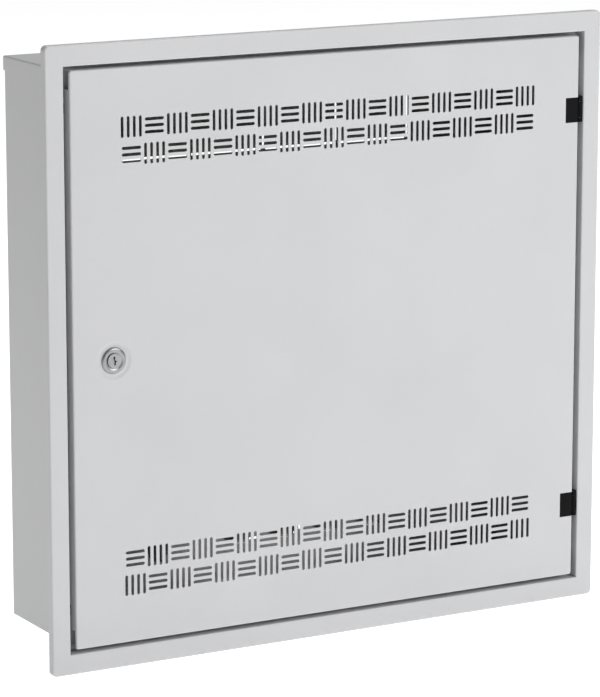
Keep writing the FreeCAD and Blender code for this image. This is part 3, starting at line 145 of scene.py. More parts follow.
# %% [markdown]
# ## Finishes
#
# Every finish has the same three layers: a soft change of colour from place to place, a change of gloss,
# and a fine relief. They could be painted pictures, but noise patterns on object coordinates need no
# seams and keep their scale on every piece. What differs is the grain: round for paint and castings,
# drawn out along one axis for brushed metal.
# %% A pattern helper
def patterned(name, dark, light, gloss, grain, relief, stretch=(1, 1, 1), cloud=9, metallic=0.0):
    """A finish whose colour, gloss and relief change with noise; grain is in patterns per metre."""
    made, shader = surface(name, gloss[0], metallic)
    nodes, links = made.node_tree.nodes, made.node_tree.links
    place = nodes.new("ShaderNodeTexCoord")
    turn = nodes.new("ShaderNodeMapping")
    turn.inputs["Scale"].default_value = stretch
    links.new(place.outputs["Object"], turn.inputs["Vector"])
    wide = nodes.new("ShaderNodeTexNoise")
    wide.inputs["Scale"].default_value = cloud
    wide.inputs["Detail"].default_value = 4
    links.new(turn.outputs["Vector"], wide.inputs["Vector"])
    fine = nodes.new("ShaderNodeTexNoise")
    fine.inputs["Scale"].default_value = grain
    fine.inputs["Detail"].default_value = 3
    links.new(turn.outputs["Vector"], fine.inputs["Vector"])
    both = nodes.new("ShaderNodeMix")
    both.data_type = "FLOAT"
    both.inputs["Factor"].default_value = 0.35
    links.new(wide.outputs["Fac"], both.inputs["A"])
    links.new(fine.outputs["Fac"], both.inputs["B"])
    ramp = nodes.new("ShaderNodeValToRGB")
    ramp.color_ramp.elements[0].position = 0.3
    ramp.color_ramp.elements[1].position = 0.7
    ramp.color_ramp.elements[0].color = (*dark, 1)
    ramp.color_ramp.elements[1].color = (*light, 1)
    links.new(both.outputs["Result"], ramp.inputs["Fac"])
    links.new(ramp.outputs["Color"], shader.inputs["Base Color"])
    sheen = nodes.new("ShaderNodeMapRange")
    sheen.inputs["From Min"].default_value = 0.3
    sheen.inputs["From Max"].default_value = 0.7
    sheen.inputs["To Min"].default_value = gloss[0]
    sheen.inputs["To Max"].default_value = gloss[1]
    links.new(both.outputs["Result"], sheen.inputs["Value"])
    links.new(sheen.outputs["Result"], shader.inputs["Roughness"])
    bump = nodes.new("ShaderNodeBump")
    bump.inputs["Strength"].default_value = relief
    bump.inputs["Distance"].default_value = 0.0002
    links.new(fine.outputs["Fac"], bump.inputs["Height"])
    links.new(bump.outputs["Normal"], shader.inputs["Normal"])
    return made, shader


# %% [markdown]
# The cabinet's powder coat is a light cool grey with a slight orange peel, about a millimetre across.
# Dust settles in it unevenly, which is the wide, faint cloud in its colour. A thin clear gloss lies over
# it.
# %% Powder coat
powder, powder_shader = patterned(
    "powder_coat", (0.508, 0.510, 0.517), (0.543, 0.545, 0.552), (0.42, 0.52), 900, 0.10
)
powder_shader.inputs["Coat Weight"].default_value = 0.12
powder_shader.inputs["Coat Roughness"].default_value = 0.35
print("powder coat ready")

# %% [markdown]
# Zinc plating is a thin bright skin with a soft bloom, so its crystals show as small patches. A cell
# pattern gives each patch its own brightness.
# %% Zinc
zinc, zinc_shader = patterned(
    "zinc_plating", (0.44, 0.45, 0.46), (0.62, 0.63, 0.64), (0.26, 0.46), 700, 0.10, cloud=60, metallic=1
)
nodes, links = zinc.node_tree.nodes, zinc.node_tree.links
spangle = nodes.new("ShaderNodeTexVoronoi")
spangle.inputs["Scale"].default_value = 260
place = next(n for n in nodes if n.type == "TEX_COORD")
links.new(place.outputs["Object"], spangle.inputs["Vector"])
tint = nodes.new("ShaderNodeMix")
tint.data_type = "RGBA"
tint.blend_type = "MULTIPLY"
tint.inputs["Factor"].default_value = 0.18
ramp = next(n for n in nodes if n.type == "VALTORGB")
links.new(ramp.outputs["Color"], tint.inputs["A"])
links.new(spangle.outputs["Color"], tint.inputs["B"])
links.new(tint.outputs["Result"], zinc_shader.inputs["Base Color"])
print("zinc ready")

# %% [markdown]
# Stainless tube is drawn through a die, and nickel plating follows a turned surface, so both have lines
# along or round the piece. Stretching the noise along X draws the lines along the bars. The lock is satin
# chrome with a finer grain.
# %% Bright metals
stainless, _ = patterned(
    "drawn_stainless",
    (0.42, 0.42, 0.41),
    (0.56, 0.56, 0.55),
    (0.20, 0.34),
    1500,
    0.10,
    (0.03, 1, 1),
    40,
    1,
)
nickel, _ = patterned(
    "nickel_plate",
    (0.42, 0.41, 0.39),
    (0.56, 0.545, 0.52),
    (0.16, 0.30),
    1300,
    0.06,
    cloud=35,
    metallic=1,
)
chrome, _ = patterned(
    "satin_chrome",
    (0.24, 0.24, 0.245),
    (0.36, 0.36, 0.365),
    (0.30, 0.44),
    2600,
    0.10,
    cloud=120,
    metallic=1,
)
polished, _ = patterned(
    "polished_ball",
    (0.74, 0.74, 0.75),
    (0.82, 0.82, 0.83),
    (0.05, 0.12),
    1600,
    0.02,
    cloud=60,
    metallic=1,
)
brass, _ = patterned(
    "turned_brass", (0.70, 0.50, 0.22), (0.83, 0.62, 0.31), (0.20, 0.36), 1400, 0.08, (1, 1, 8), 45, 1
)
print("five bright metals ready")

# %% [markdown]
# Moulded plastics take the grain of their mould: a fine leathery relief, slightly shinier where hands rub
# it. Rubber is duller and speckled with chalk, and the union gaskets are pressed from coloured fibres.
# %% Plastics, rubber and fibre
black, black_shader = patterned(
    "black_plastic", (0.0025, 0.0025, 0.0028), (0.006, 0.006, 0.0066), (0.50, 0.66), 2400, 0.16, cloud=80
)
black_shader.inputs["Specular IOR Level"].default_value = 0.08
white, _ = patterned(
    "white_plastic", (0.66, 0.66, 0.64), (0.74, 0.74, 0.72), (0.30, 0.44), 2400, 0.12, cloud=50
)
red, _ = patterned(
    "red_plastic", (0.42, 0.018, 0.016), (0.55, 0.030, 0.026), (0.28, 0.42), 2400, 0.12, cloud=60
)
blue, _ = patterned(
    "blue_plastic", (0.014, 0.070, 0.32), (0.024, 0.105, 0.44), (0.28, 0.42), 2400, 0.12, cloud=60
)
grey, _ = patterned(
    "grey_plastic", (0.10, 0.10, 0.105), (0.15, 0.15, 0.155), (0.36, 0.50), 2400, 0.14, cloud=60
)
rubber, _ = patterned(
    "rubber", (0.016, 0.016, 0.016), (0.035, 0.035, 0.034), (0.66, 0.86), 1800, 0.22, cloud=120
)
fibre, _ = patterned(
    "pressed_fibre", (0.16, 0.055, 0.035), (0.30, 0.13, 0.08), (0.7, 0.9), 1500, 0.35, (1, 6, 1), 220
)
clear, clear_shader = patterned(
    "clear_plastic", (0.90, 0.93, 0.93), (0.97, 0.98, 0.98), (0.03, 0.09), 900, 0.02, cloud=40
)
clear_shader.inputs["Transmission Weight"].default_value = 1.0
clear_shader.inputs["IOR"].default_value = 1.49
print("eight soft finishes ready")

# %% [markdown]
# ## Dressing the frame
#
# The solid model's own folded sheets already have their bends, slots and holes, so they stay as they are
# and only get their finish. Nodes that are modelled again further down are hidden there.
# %% Finish every solid node
FINISHES = {
    "cabinet_paint": powder,
    "zinc_steel": zinc,
    "black_plastic": black,
    "rubber": rubber,
    "fibre": fibre,
    "lock_metal": chrome,
    "stainless_steel": stainless,
    "nickel_plate": nickel,
    "polished_ball": polished,
    "brass": brass,
    "clear_plastic": clear,
    "red_plastic": red,
    "blue_plastic": blue,
    "white_plastic": white,
    "cap_plastic": grey,
}
SLOT_OF = {sub["node"]: sub["material_slot"] for sub in frame["record"]["subparts"]}
BODY_OF = {node: body for body, nodes in frame["record"]["behaviour"]["bodies"].items() for node in nodes}
for node, thing in frame["nodes"].items():
    for holder in thing.material_slots:
        holder.material = FINISHES[SLOT_OF[node]]
print(len(frame["nodes"]), "solid nodes dressed")


# %% [markdown]
# ## Places
#
# The manifold repeats itself: four circuits side by side on two bars. Their places are read from the
# frame once, and each small shape below is modelled standing on its own zero, in millimetres, along its
# own Z axis, and then put in its place.
# %% Where things are
def centre(node):
    low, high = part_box(node)
    return (low + high) / 2


CIRCUITS = (1, 2, 3, 4)
SIDES = (-1, 1)
PORT_X = [centre(f"valve_spindle_{i}").x for i in CIRCUITS]
BAR = {"supply": centre("supply_bar"), "return": centre("return_bar")}
BALL = {"supply": centre("supply_valve_ball"), "return": centre("return_valve_ball")}
END_X = centre("supply_air_vent_cap").x
BRANCH_TOP = 0.024
BAR_END = 0.139
BOSS_TOP = 0.0195
METER_SEAT = 0.011
print("circuits at", [round(x, 3) for x in PORT_X])

# %% [markdown]
# ## Shapes
#
# Most fittings are turned on a lathe, so most pieces here are spun: a few points give half the outline,
# and the spin operator sweeps it round. Real edges are never perfectly sharp, so each shape then gets a
# small bevel on its sharp edges. A bevel modifier would do the same, but done once in the mesh it costs
# nothing later.
# %% Spin and soften
DIRECTIONS = {
    "Z": Matrix(),
    "-Z": Matrix.Rotation(math.pi, 4, "X"),
    "Y": Matrix.Rotation(-math.pi / 2, 4, "X"),
    "-Y": Matrix.Rotation(math.pi / 2, 4, "X"),
    "X": Matrix.Rotation(math.pi / 2, 4, "Y"),
    "-X": Matrix.Rotation(-math.pi / 2, 4, "Y"),
}


def soften(shape, width, segments=2, from_angle=28):
    """Bevels the edges that turn by more than an angle."""
    sharp = [e for e in shape.edges if e.is_manifold and e.calc_face_angle(0) > math.radians(from_angle)]
    if sharp and width:
        bmesh.ops.bevel(
            shape,
            geom=sharp,
            offset=width,
            offset_type="OFFSET",
            segments=segments,
            profile=0.5,
            affect="EDGES",
            clamp_overlap=True,
            material=-1,
        )
    return shape


def turned(outline, closed=False, steps=48, soft=0.25):
    """Half an outline of (radius, height) points, turned round Z. A closed outline makes a ring."""
    shape = bmesh.new()
    points = [shape.verts.new((radius, 0, height)) for radius, height in outline]
    lines = [shape.edges.new(pair) for pair in zip(points, points[1:])]
    if closed:
        lines.append(shape.edges.new((points[-1], points[0])))
    bmesh.ops.spin(
        shape,
        geom=points + lines,
        cent=(0, 0, 0),
        axis=(0, 0, 1),
        dvec=(0, 0, 0),
        angle=2 * math.pi,
        steps=steps,
        use_merge=True,
    )
    bmesh.ops.remove_doubles(shape, verts=shape.verts, dist=1e-4)
    bmesh.ops.recalc_face_normals(shape, faces=shape.faces)
    return soften(shape, soft)


# %% [markdown]
# A hexagon nut is turned first, with its corners chamfered, and then milled: six flats cut the round
# away, which leaves the curved chamfer that every real nut has on its corners. Here six cutting planes do
# the milling.
# %% Nuts
def hexed(across_flats, height, bore=0.0, chamfer=1.0, soft=0.15):
    """A hexagon with chamfered corners and an optional bore, standing on its zero."""
    corner = across_flats / 2 / math.cos(math.pi / 6)
    outline = [
        (bore, 0),
        (corner - chamfer, 0),
        (corner, chamfer * 0.6),
        (corner, height - chamfer * 0.6),
        (corner - chamfer, height),
        (bore, height),
    ]
    shape = turned(outline, closed=bore > 0, steps=60, soft=0)
    for k in range(6):
        way = Vector((math.cos(k * math.pi / 3), math.sin(k * math.pi / 3), 0))
        cut = bmesh.ops.bisect_plane(
            shape,
            geom=shape.verts[:] + shape.edges[:] + shape.faces[:],
            plane_co=way * across_flats / 2,
            plane_no=way,
            clear_outer=True,
        )
        rim = [e for e in cut["geom_cut"] if isinstance(e, bmesh.types.BMEdge)]
        bmesh.ops.holes_fill(shape, edges=rim, sides=0)
    bmesh.ops.dissolve_degenerate(shape, edges=shape.edges, dist=0.002)
    bmesh.ops.recalc_face_normals(shape, faces=shape.faces)
    soften(shape, soft, 1)
    bmesh.ops.dissolve_degenerate(shape, edges=shape.edges, dist=0.002)
    return shape


# %% [markdown]
# A screw thread is one small triangle that travels up as it goes round. The spin operator can rise while
# it turns, so a thread is a triangle spun through many turns, laid over the plain shank.
# %% Threads
def threaded(radius, depth, pitch, length, steps=32):
    """The ridge of a screw thread, from its zero upwards."""
    shape = bmesh.new()
    rows = ((radius - depth, 0.02 * pitch), (radius, pitch * 0.5), (radius - depth, 0.98 * pitch))
    points = [shape.verts.new((r, 0, h)) for r, h in rows]
    first = shape.faces.new(points)
    turns = max(1, int(length / pitch) - 1)
    swept = bmesh.ops.spin(
        shape,
        geom=list(first.edges) + points,
        cent=(0, 0, 0),
        axis=(0, 0, 1),
        dvec=(0, 0, pitch / steps),
        angle=2 * math.pi * turns,
        steps=steps * turns,
        use_merge=False,
    )
    last = [v for v in swept["geom_last"] if isinstance(v, bmesh.types.BMVert)]
    shape.faces.new(last)
    bmesh.ops.recalc_face_normals(shape, faces=shape.faces)
    return shape


# %% [markdown]
# Hand caps, rings and knurled heads are gripped by their ribs. A ring of points is extruded upwards, and
# at each level every other pair of points is drawn in, which makes the ribs. Where both radii are equal,
# the level is round.
# %% Ribbed turnings
def ribbed(levels, ribs, soft=0.0):
    """Levels of (height, valley radius, crest radius) drawn up from a ring and closed at both ends."""
    shape = bmesh.new()
    made = bmesh.ops.create_circle(shape, cap_ends=True, segments=ribs * 4, radius=1)
    ring = made["verts"]
    for step, (height, valley, crest) in enumerate(levels):
        if step:
            edges = [e for e in shape.edges if e.verts[0] in ring and e.verts[1] in ring]
            grown = bmesh.ops.extrude_edge_only(shape, edges=edges)["geom"]
            ring = [v for v in grown if isinstance(v, bmesh.types.BMVert)]
        ring.sort(key=lambda v: math.atan2(v.co.y, v.co.x))
        for k, point in enumerate(ring):
            way = Vector((point.co.x, point.co.y, 0)).normalized()
            point.co = way * (crest if k % 4 < 2 else valley) + Vector((0, 0, height))
    bmesh.ops.holes_fill(shape, edges=[e for e in shape.edges if e.is_boundary], sides=0)
    bmesh.ops.recalc_face_normals(shape, faces=shape.faces)
    return soften(shape, soft, 1, 40)


# %% [markdown]
# Plates, lugs and ticks are blocks with rounded corners: upright edges get a large radius and the rest a
# small one. Screw heads get a six-sided socket: the top ring is bridged to a hexagon, which is then
# pushed down.
# %% Blocks and screw heads
def slab(size, corner=0.0, soft=0.3, middle=(0, 0, 0)):
    """A block of a size round a middle, its Z edges rounded by a corner radius and the rest softened."""
    shape = bmesh.new()
    bmesh.ops.create_cube(shape, size=1)
    bmesh.ops.scale(shape, vec=size, verts=shape.verts)
    if corner:
        upright = [e for e in shape.edges if abs((e.verts[0].co - e.verts[1].co).normalized().z) > 0.9]
        bmesh.ops.bevel(
            shape,
            geom=upright,
            offset=corner,
            offset_type="OFFSET",
            segments=6,
            profile=0.5,
            affect="EDGES",
            material=-1,
        )
    soften(shape, soft, 2, 40)
    bmesh.ops.translate(shape, verts=shape.verts, vec=middle)
    return shape


def socket_head(radius, height, socket, domed=0.0):
    """A screw head standing on its zero with a hexagon socket in its top."""
    shape = bmesh.new()
    rim = bmesh.ops.create_circle(shape, segments=36, radius=radius * (0.72 if domed else 0.94))["verts"]
    bmesh.ops.translate(shape, verts=rim, vec=(0, 0, height))
    top = shape.edges[:]
    hollow = bmesh.ops.create_circle(shape, segments=6, radius=socket)["verts"]
    bmesh.ops.translate(shape, verts=hollow, vec=(0, 0, height))
    inner = [e for e in shape.edges if e not in top]
    bmesh.ops.bridge_loops(shape, edges=top + inner)
    down = bmesh.ops.extrude_edge_only(shape, edges=inner)["geom"]
    floor_points = [v for v in down if isinstance(v, bmesh.types.BMVert)]
    bmesh.ops.translate(shape, verts=floor_points, vec=(0, 0, -height * 0.6))
    outer = top
    for drop in (height * (0.45 if domed else 0.08), height):
        grown = bmesh.ops.extrude_edge_only(shape, edges=outer)["geom"]
        ring = [v for v in grown if isinstance(v, bmesh.types.BMVert)]
        outer = [e for e in grown if isinstance(e, bmesh.types.BMEdge) and all(v in ring for v in e.verts)]
        for point in ring:
            way = Vector((point.co.x, point.co.y, 0)).normalized()
            point.co = way * radius + Vector((0, 0, height - drop))
    bmesh.ops.holes_fill(shape, edges=[e for e in shape.edges if e.is_boundary], sides=0)
    bmesh.ops.recalc_face_normals(shape, faces=shape.faces)
    return shape


# %% [markdown]
# Each shape is put at its place in metres, and shapes of one piece are gathered in one mesh. The finished
# piece rides on the same body as the node it stands for, and takes its finish from that node's slot.
# %% Place, gather and finish
def put(shape, at, way="Z", spin=0.0):
    """The shape turned so that its Z axis points one way, in metres, at a place."""
    turn = DIRECTIONS[way] @ Matrix.Rotation(math.radians(spin), 4, "Z") @ Matrix.Scale(0.001, 4)
    bmesh.ops.transform(shape, matrix=Matrix.Translation(at) @ turn, verts=shape.verts)
    return shape


def piece(name, node, shapes, finish=None, stands=True, sharp=32):
    """One object from several placed shapes, in place of a solid node, on that node's body."""
    gathered = bmesh.new()
    for shape in shapes:
        part = bpy.data.meshes.new("part")
        shape.to_mesh(part)
        shape.free()
        gathered.from_mesh(part)
        bpy.data.meshes.remove(part)
    mesh = bpy.data.meshes.new(name)
    gathered.to_mesh(mesh)
    gathered.free()
    mesh.shade_smooth()
    mesh.set_sharp_from_angle(angle=math.radians(sharp))
    made = bpy.data.objects.new(name, mesh)
    bpy.context.scene.collection.objects.link(made)
    mesh.materials.append(finish or FINISHES[SLOT_OF[node]])
    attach(made, BODY_OF[node])
    if stands:
        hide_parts(node)
    print(name, len(mesh.polygons), "faces")
    return made


# %% [markdown]
# Some solid nodes have the right shape but dead-sharp edges. For those, the node's mesh is copied, its
# loose triangles are joined up and flattened into whole faces, and a bevel modifier rounds the edges so
# that they catch the light.
# %% Softened copies
def softened(node, width=0.3, segments=2):
    """A copy of a solid node with rounded edges, in its place."""
    shape = bmesh.new()
    shape.from_mesh(frame["nodes"][node].data)
    bmesh.ops.remove_doubles(shape, verts=shape.verts, dist=1e-6)
    bmesh.ops.dissolve_limit(
        shape,
        angle_limit=math.radians(0.5),
        verts=shape.verts[:],
        edges=shape.edges[:],
        use_dissolve_boundaries=False,
    )
    made = piece(f"{node}_soft", node, [shape])
    rounding = made.modifiers.new("rounding", "BEVEL")
    rounding.width = width / 1000
    rounding.segments = segments
    rounding.limit_method = "ANGLE"
    rounding.angle_limit = math.radians(35)
    rounding.use_clamp_overlap = True
    rounding.harden_normals = False
    return made


# %% [markdown]
# ## The lock
#
# A cam lock of satin chrome: a bezel with a rounded rim and a shallow step round the plug, a threaded
# barrel through the door, and a thin nut behind. The plug's keyway is already cut in the solid model, so
# the plug stays; a small sprung shutter is added just inside the keyway, where the metal glints.
# %% Bezel, barrel, plug shutter and nut
lock = centre("lock_plug")
seat = Vector((lock.x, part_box("lock_body")[0].y + 0.0022, lock.z))
barrel_back = (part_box("lock_body")[1].y - seat.y) * 1000
bezel = [
    (7.06, -barrel_back),
    (9.0, -barrel_back),
    (9.2, 0.0),
    (12.6, 0.0),
    (12.6, 0.75),
    (12.25, 1.45),
    (11.5, 1.95),
    (10.6, 2.18),
    (9.3, 2.15),
    (8.5, 1.85),
    (7.9, 1.55),
    (7.35, 1.5),
    (7.06, 1.2),
]
piece(
    "lock_bezel",
    "lock_body",
    [
        put(turned(bezel, True, 72, 0.08), seat, "-Y"),
        put(
            threaded(9.3, 0.35, 1.0, barrel_back - 3.5),
            seat + Vector((0, barrel_back / 1000 - 0.0003, 0)),
            "-Y",
        ),
    ],
)
plug_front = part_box("lock_plug")[0].y
shutter = slab((1.7, 4.6, 0.5), 0.5, 0.12, (0, 0, 0))
shutter_place = (lock.x - 0.0001, plug_front + 0.0016, -0.0004)
piece("lock_shutter", "lock_plug", [put(shutter, shutter_place, "-Y")], chrome, False)
nut_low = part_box("lock_nut")[0]
nut_place = (lock.x, nut_low.y, lock.z)
piece("lock_ring_nut", "lock_nut", [put(hexed(22.4, 4, 9.35, 1.4), nut_place, "Y")])
cam_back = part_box("lock_cam")[1].y
piece("lock_cam_bolt", "lock_cam_screw", [put(socket_head(5, 2.2, 2.0), (lock.x, cam_back, lock.z), "Y")])
softened("lock_cam", 0.3)

# %% [markdown]
# ## The hinges
#
# Two moulded hinges carry the door on short steel pins. The leaves fill notches in the door's edge; their
# fronts are what shows. Their solid shapes are right, so they are softened, and the pins get rounded
# ends.
# %% Hinges
softened("hinge_leaves", 0.35, 3)
softened("hinge_sockets", 0.35, 3)
low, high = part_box("hinge_pins")
pins, nuts = [], []
PIN = [(0, 0), (0.75, 0), (1.0, 0.3), (1.0, 24.7), (0.75, 25), (0, 25)]
for foot in (low.z, high.z - 0.025):
    pins.append(put(turned(PIN, soft=0), ((low.x + high.x) / 2, (low.y + high.y) / 2, foot)))
piece("hinge_pin_pair", "hinge_pins", pins)
low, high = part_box("hinge_nuts")
nut_x = (low.x + high.x) / 2
for up in SIDES:
    for step in SIDES:
        z = up * (high.z - 0.004 - 0.009) + step * 0.009
        nuts.append(put(hexed(6.9, 3, 2.0, 0.5, 0.08), (nut_x, low.y, z), "Y"))
piece("hinge_stud_nuts", "hinge_nuts", nuts)

# %% [markdown]
# ## Door buffers and the frame's clamp bolts
#
# Four rubber discs stop the door from rattling; each is a low dome with a dimple. The frame is pulled to
# the box by four bolts with wing nuts, which slide in slots so that the frame can meet the plaster.
# %% Buffers and clamp bolts
low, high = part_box("door_buffers")
thick = (high.y - low.y) * 1000
DOME = [
    (0, 0), (5, 0), (5, thick - 0.9), (4.2, thick - 0.2), (3.2, thick), (1.6, thick - 0.1),
    (0.9, thick - 0.7), (0, thick - 0.8),
]
discs = []
for x in (low.x + 0.005, high.x - 0.005):
    for z in (low.z + 0.005, high.z - 0.005):
        discs.append(put(turned(DOME, steps=32, soft=0.1), (x, high.y, z), "-Y"))
piece("door_buffer_discs", "door_buffers", discs)
softened("frame_fixings", 0.35)

# %% [markdown]
# ## Rails, brackets and their screws
#
# Two channel rails on the back wall carry two steel brackets. The folded parts are softened copies. Their
# screws get the details that tell them apart: pan heads with a socket for the rails, and hexagon heads
# with washers and square nuts for the brackets.
# %% Rails and brackets
softened("mounting_rails", 0.35)
softened("brackets", 0.4)
softened("clamp_caps", 0.4)
rail_low, rail_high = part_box("mounting_rails")
bracket_low, bracket_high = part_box("brackets")
RAIL_Z = (rail_low.z + 0.015, rail_high.z - 0.015)
BRACKET_X = (bracket_low.x + 0.010, bracket_high.x - 0.010)
fixings = []
for z in RAIL_Z:
    for x in (rail_low.x + 0.015, rail_high.x - 0.015):
        fixings.append(put(socket_head(4, 2.4, 1.7, 1.0), (x, rail_high.y - 0.0015, z), "-Y"))
    for x in BRACKET_X:
        front = rail_low.y - 0.003
        fixings.append(
            put(turned([(3.1, 0), (6.5, 0), (6.5, 1.2), (3.1, 1.2)], True, 40, 0.15), (x, front, z), "-Y")
        )
        fixings.append(put(hexed(10, 4, 0, 0.9), (x, front - 0.0012, z), "-Y"))
        fixings.append(
            put(
                turned([(0, 0), (3, 0), (3, 10.2), (2.4, 10.9), (0, 10.9)], soft=0),
                (x, front - 0.0002, z),
                "Y",
            ),
        )
        fixings.append(put(threaded(3.05, 0.3, 1.0, 8), (x, front + 0.0025, z), "Y"))
        fixings.append(put(slab((16, 24, 4), 1.2, 0.4, (0, 0, 2)), (x, rail_low.y + 0.0015, z), "Y"))
piece("rail_screws_and_bolts", "rail_fixings", fixings)

# %% [markdown]
# ## Clamps
#
# A ribbed rubber ring keeps each bar from ringing against its clamp, and two socket screws close the
# clamp.
# %% Liners and clamp screws
LINER = [
    (17.02, -11), (19, -11), (19.6, -10.2), (18.9, -9.4), (18.9, 9.4), (19.6, 10.2), (19, 11),
    (17.02, 11),
]
liners, screws = [], []
for name in BAR:
    for x in BRACKET_X:
        liners.append(put(turned(LINER, True, 56, 0.2), (x, BAR[name].y, BAR[name].z), "X"))
        for side in SIDES:
            at = Vector((x, BAR[name].y - 0.0027, BAR[name].z + side * 0.0265))
            screws.append(put(socket_head(3.6, 3, 1.9), at, "-Y"))
            screws.append(put(turned([(0, 0), (2, 0), (2, 7), (1.5, 7.4), (0, 7.4)], soft=0), at, "Y"))
            screws.append(put(threaded(2.05, 0.25, 0.7, 6), at + Vector((0, 0.001, 0)), "Y"))
piece("clamp_rubber_rings", "clamp_liners", liners)
piece("clamp_socket_screws", "clamp_screws", screws)

# %% [markdown]
# ## The bars
#
# Each bar is a stainless tube with eight short branches pulled out of its wall, so a branch meets the
# tube in a small flare instead of a sharp corner. The flare is spun with the branch. Each end is stepped
# down for a thread.
# %% Bars with their branches
TUBE = [
    (14.5, -137), (16.0, -137), (16.5, -136.4), (16.5, -125.4), (17, -125), (17, 125), (16.5, 125.4),
    (16.5, 136.4), (16.0, 137), (14.5, 137),
]
BRANCH = [
    (7.0, 12.5), (14.6, 12.5), (14.0, 15.6), (12.7, 17.6), (12.0, 20.0), (12.0, 23.6), (11.6, 24.0),
    (7.0, 24.0),
]
for name in BAR:
    shapes = [put(turned(TUBE, True, 72, 0.1), BAR[name], "X")]
    for side in SIDES:
        shapes.append(
            put(
                threaded(16.6, 0.5, 1.8, 11),
                BAR[name] + Vector((side * 0.1255, 0, 0)),
                "X" if side > 0 else "-X",
            ),
        )
    for x in PORT_X:
        for way in ("Z", "-Z"):
            shapes.append(put(turned(BRANCH, True, 48, 0.1), (x, BAR[name].y, BAR[name].z), way))
    piece(f"{name}_manifold_bar", f"{name}_bar", shapes)

# %% [markdown]
# ## Nipples for the floor pipes
#
# Under each lower branch hangs a plated nipple: a hexagon for the spanner, a relief groove, and a thread
# that the pipe's union nut screws on to. Its mouth is coned for the sealing olive.
# %% Nipples
NIPPLE = [(7.0, 1), (12, 1), (12, 8), (12.3, 8.2), (12.3, 19.0), (11.4, 20), (9.6, 20), (7.0, 15.5)]
nipples = []
for name in BAR:
    for x in PORT_X:
        at = Vector((x, BAR[name].y, BAR[name].z - BRANCH_TOP))
        nipples.append(put(hexed(27.7, 6, 7.0, 1.6), at, "-Z", 30))
        nipples.append(put(turned(NIPPLE, True, 48, 0.12), at, "-Z"))
        nipples.append(put(threaded(13.2, 0.95, 1.8, 12.4), at + Vector((0, 0, -0.0078)), "-Z"))
piece("pipe_nipples", "loop_adapters", nipples)

# %% [markdown]
# ## Flow meters
#
# Each supply circuit has a sight glass. A brass foot screws into the branch, a black ribbed ring sets the
# flow, and inside the clear tube a red disc rises on its rod. The scale is only fine lines round a third
# of the tube.
# %% Feet, rings, glasses and indicators
meter_foot = Vector((0, BAR["supply"].y, BAR["supply"].z + BRANCH_TOP))
SPIGOT = [(4, 0.5), (7, 0.5), (7, 15.2), (6.4, 16), (4, 16)]
FOOT_BAND = [(11, 10.6), (12.4, 10.6), (12.4, 11.1), (11, 11.1)]
feet, tubes = [], []
GLASS_INSIDE = [(0, 53.5), (5.0, 53.5), (6.6, 52.4), (7.0, 51), (7.0, 0)]
GLASS_OUTSIDE = [(8.5, 0), (8.5, 52.4), (8.1, 53.6), (7.2, 54.6), (6.0, 55.4), (6.0, 56), (0, 56)]
for i, x in zip(CIRCUITS, PORT_X):
    at = Vector((x, meter_foot.y, meter_foot.z))
    feet.append(put(hexed(24.2, 10.6, 4, 1.4), at, spin=30))
    feet.append(put(turned(SPIGOT, True), at))
    feet.append(put(turned(FOOT_BAND, True, soft=0.1), at))
    top = at + Vector((0, 0, METER_SEAT))
    tubes.append(put(turned(GLASS_INSIDE + GLASS_OUTSIDE, False, 48, 0.12), top))
    ring_levels = [
        (0.2, 12.2, 12.2), (0.8, 12.8, 12.8), (1.8, 12.1, 13.0), (12.2, 12.1, 13.0), (13.2, 12.4, 12.4),
        (15.2, 11.5, 11.5), (15.2, 8.7, 8.7), (0.2, 8.7, 8.7),
    ]
    ring = ribbed(ring_levels, 20, 0.0)
    bmesh.ops.delete(ring, geom=[f for f in ring.faces if len(f.verts) > 8], context="FACES")
    loops = [e for e in ring.edges if e.is_boundary]
    bmesh.ops.bridge_loops(ring, edges=loops)
    bmesh.ops.recalc_face_normals(ring, faces=ring.faces)
    mark = slab((1.2, 0.8, 9), 0.3, 0.15, (0, -12.9, 7))
    piece(f"flow_ring_{i}_ribbed", f"flow_ring_{i}", [put(ring, top), put(mark, top)])
    foot = top + Vector((0, 0, 0.007))
    DISC = [
        (0, 0), (0.9, 0), (1.3, 0.5), (1.3, 11.6), (4.9, 12), (5.6, 12.6), (5.6, 14.4), (4.9, 15),
        (1.3, 15.4), (1.3, 25.4), (0.8, 26), (0, 26),
    ]
    piece(
        f"flow_indicator_{i}_disc", f"flow_indicator_{i}", [put(turned(DISC, soft=0.1, steps=32), foot)]
    )
piece("meter_feet", "flow_meter_bases", feet)
piece("sight_glasses", "flow_meter_glasses", tubes)

# %% [markdown]
# The scale's lines are printed on the tube, so they are very thin arcs just proud of it: a tiny block's
# section, spun through a third of a turn.
# %% Scale lines
def arc(radius, height, tall, degrees, thick=0.08):
    """A thin printed line round part of a tube, facing the front."""
    shape = bmesh.new()
    corners = (
        (radius, height), (radius + thick, height), (radius + thick, height + tall),
        (radius, height + tall),
    )
    section = shape.faces.new([shape.verts.new((r, 0, h)) for r, h in corners])
    start = Matrix.Rotation(math.radians(-90 - degrees / 2), 4, "Z")
    bmesh.ops.transform(shape, matrix=start, verts=shape.verts)
    bmesh.ops.spin(
        shape,
        geom=[section] + list(section.edges) + list(section.verts),
        cent=(0, 0, 0),
        axis=(0, 0, 1),
        dvec=(0, 0, 0),
        angle=math.radians(degrees),
        steps=10,
        use_merge=False,
    )
    bmesh.ops.recalc_face_normals(shape, faces=shape.faces)
    return shape


lines = []
for x in PORT_X:
    top = Vector((x, meter_foot.y, meter_foot.z + METER_SEAT))
    for k in range(11):
        wide = 100 if k % 5 == 0 else 60
        lines.append(put(arc(8.5, 18 + k * 3, 0.45 if k % 5 == 0 else 0.25, wide), top))
piece("scale_lines", "flow_meter_glasses", lines, black, False)

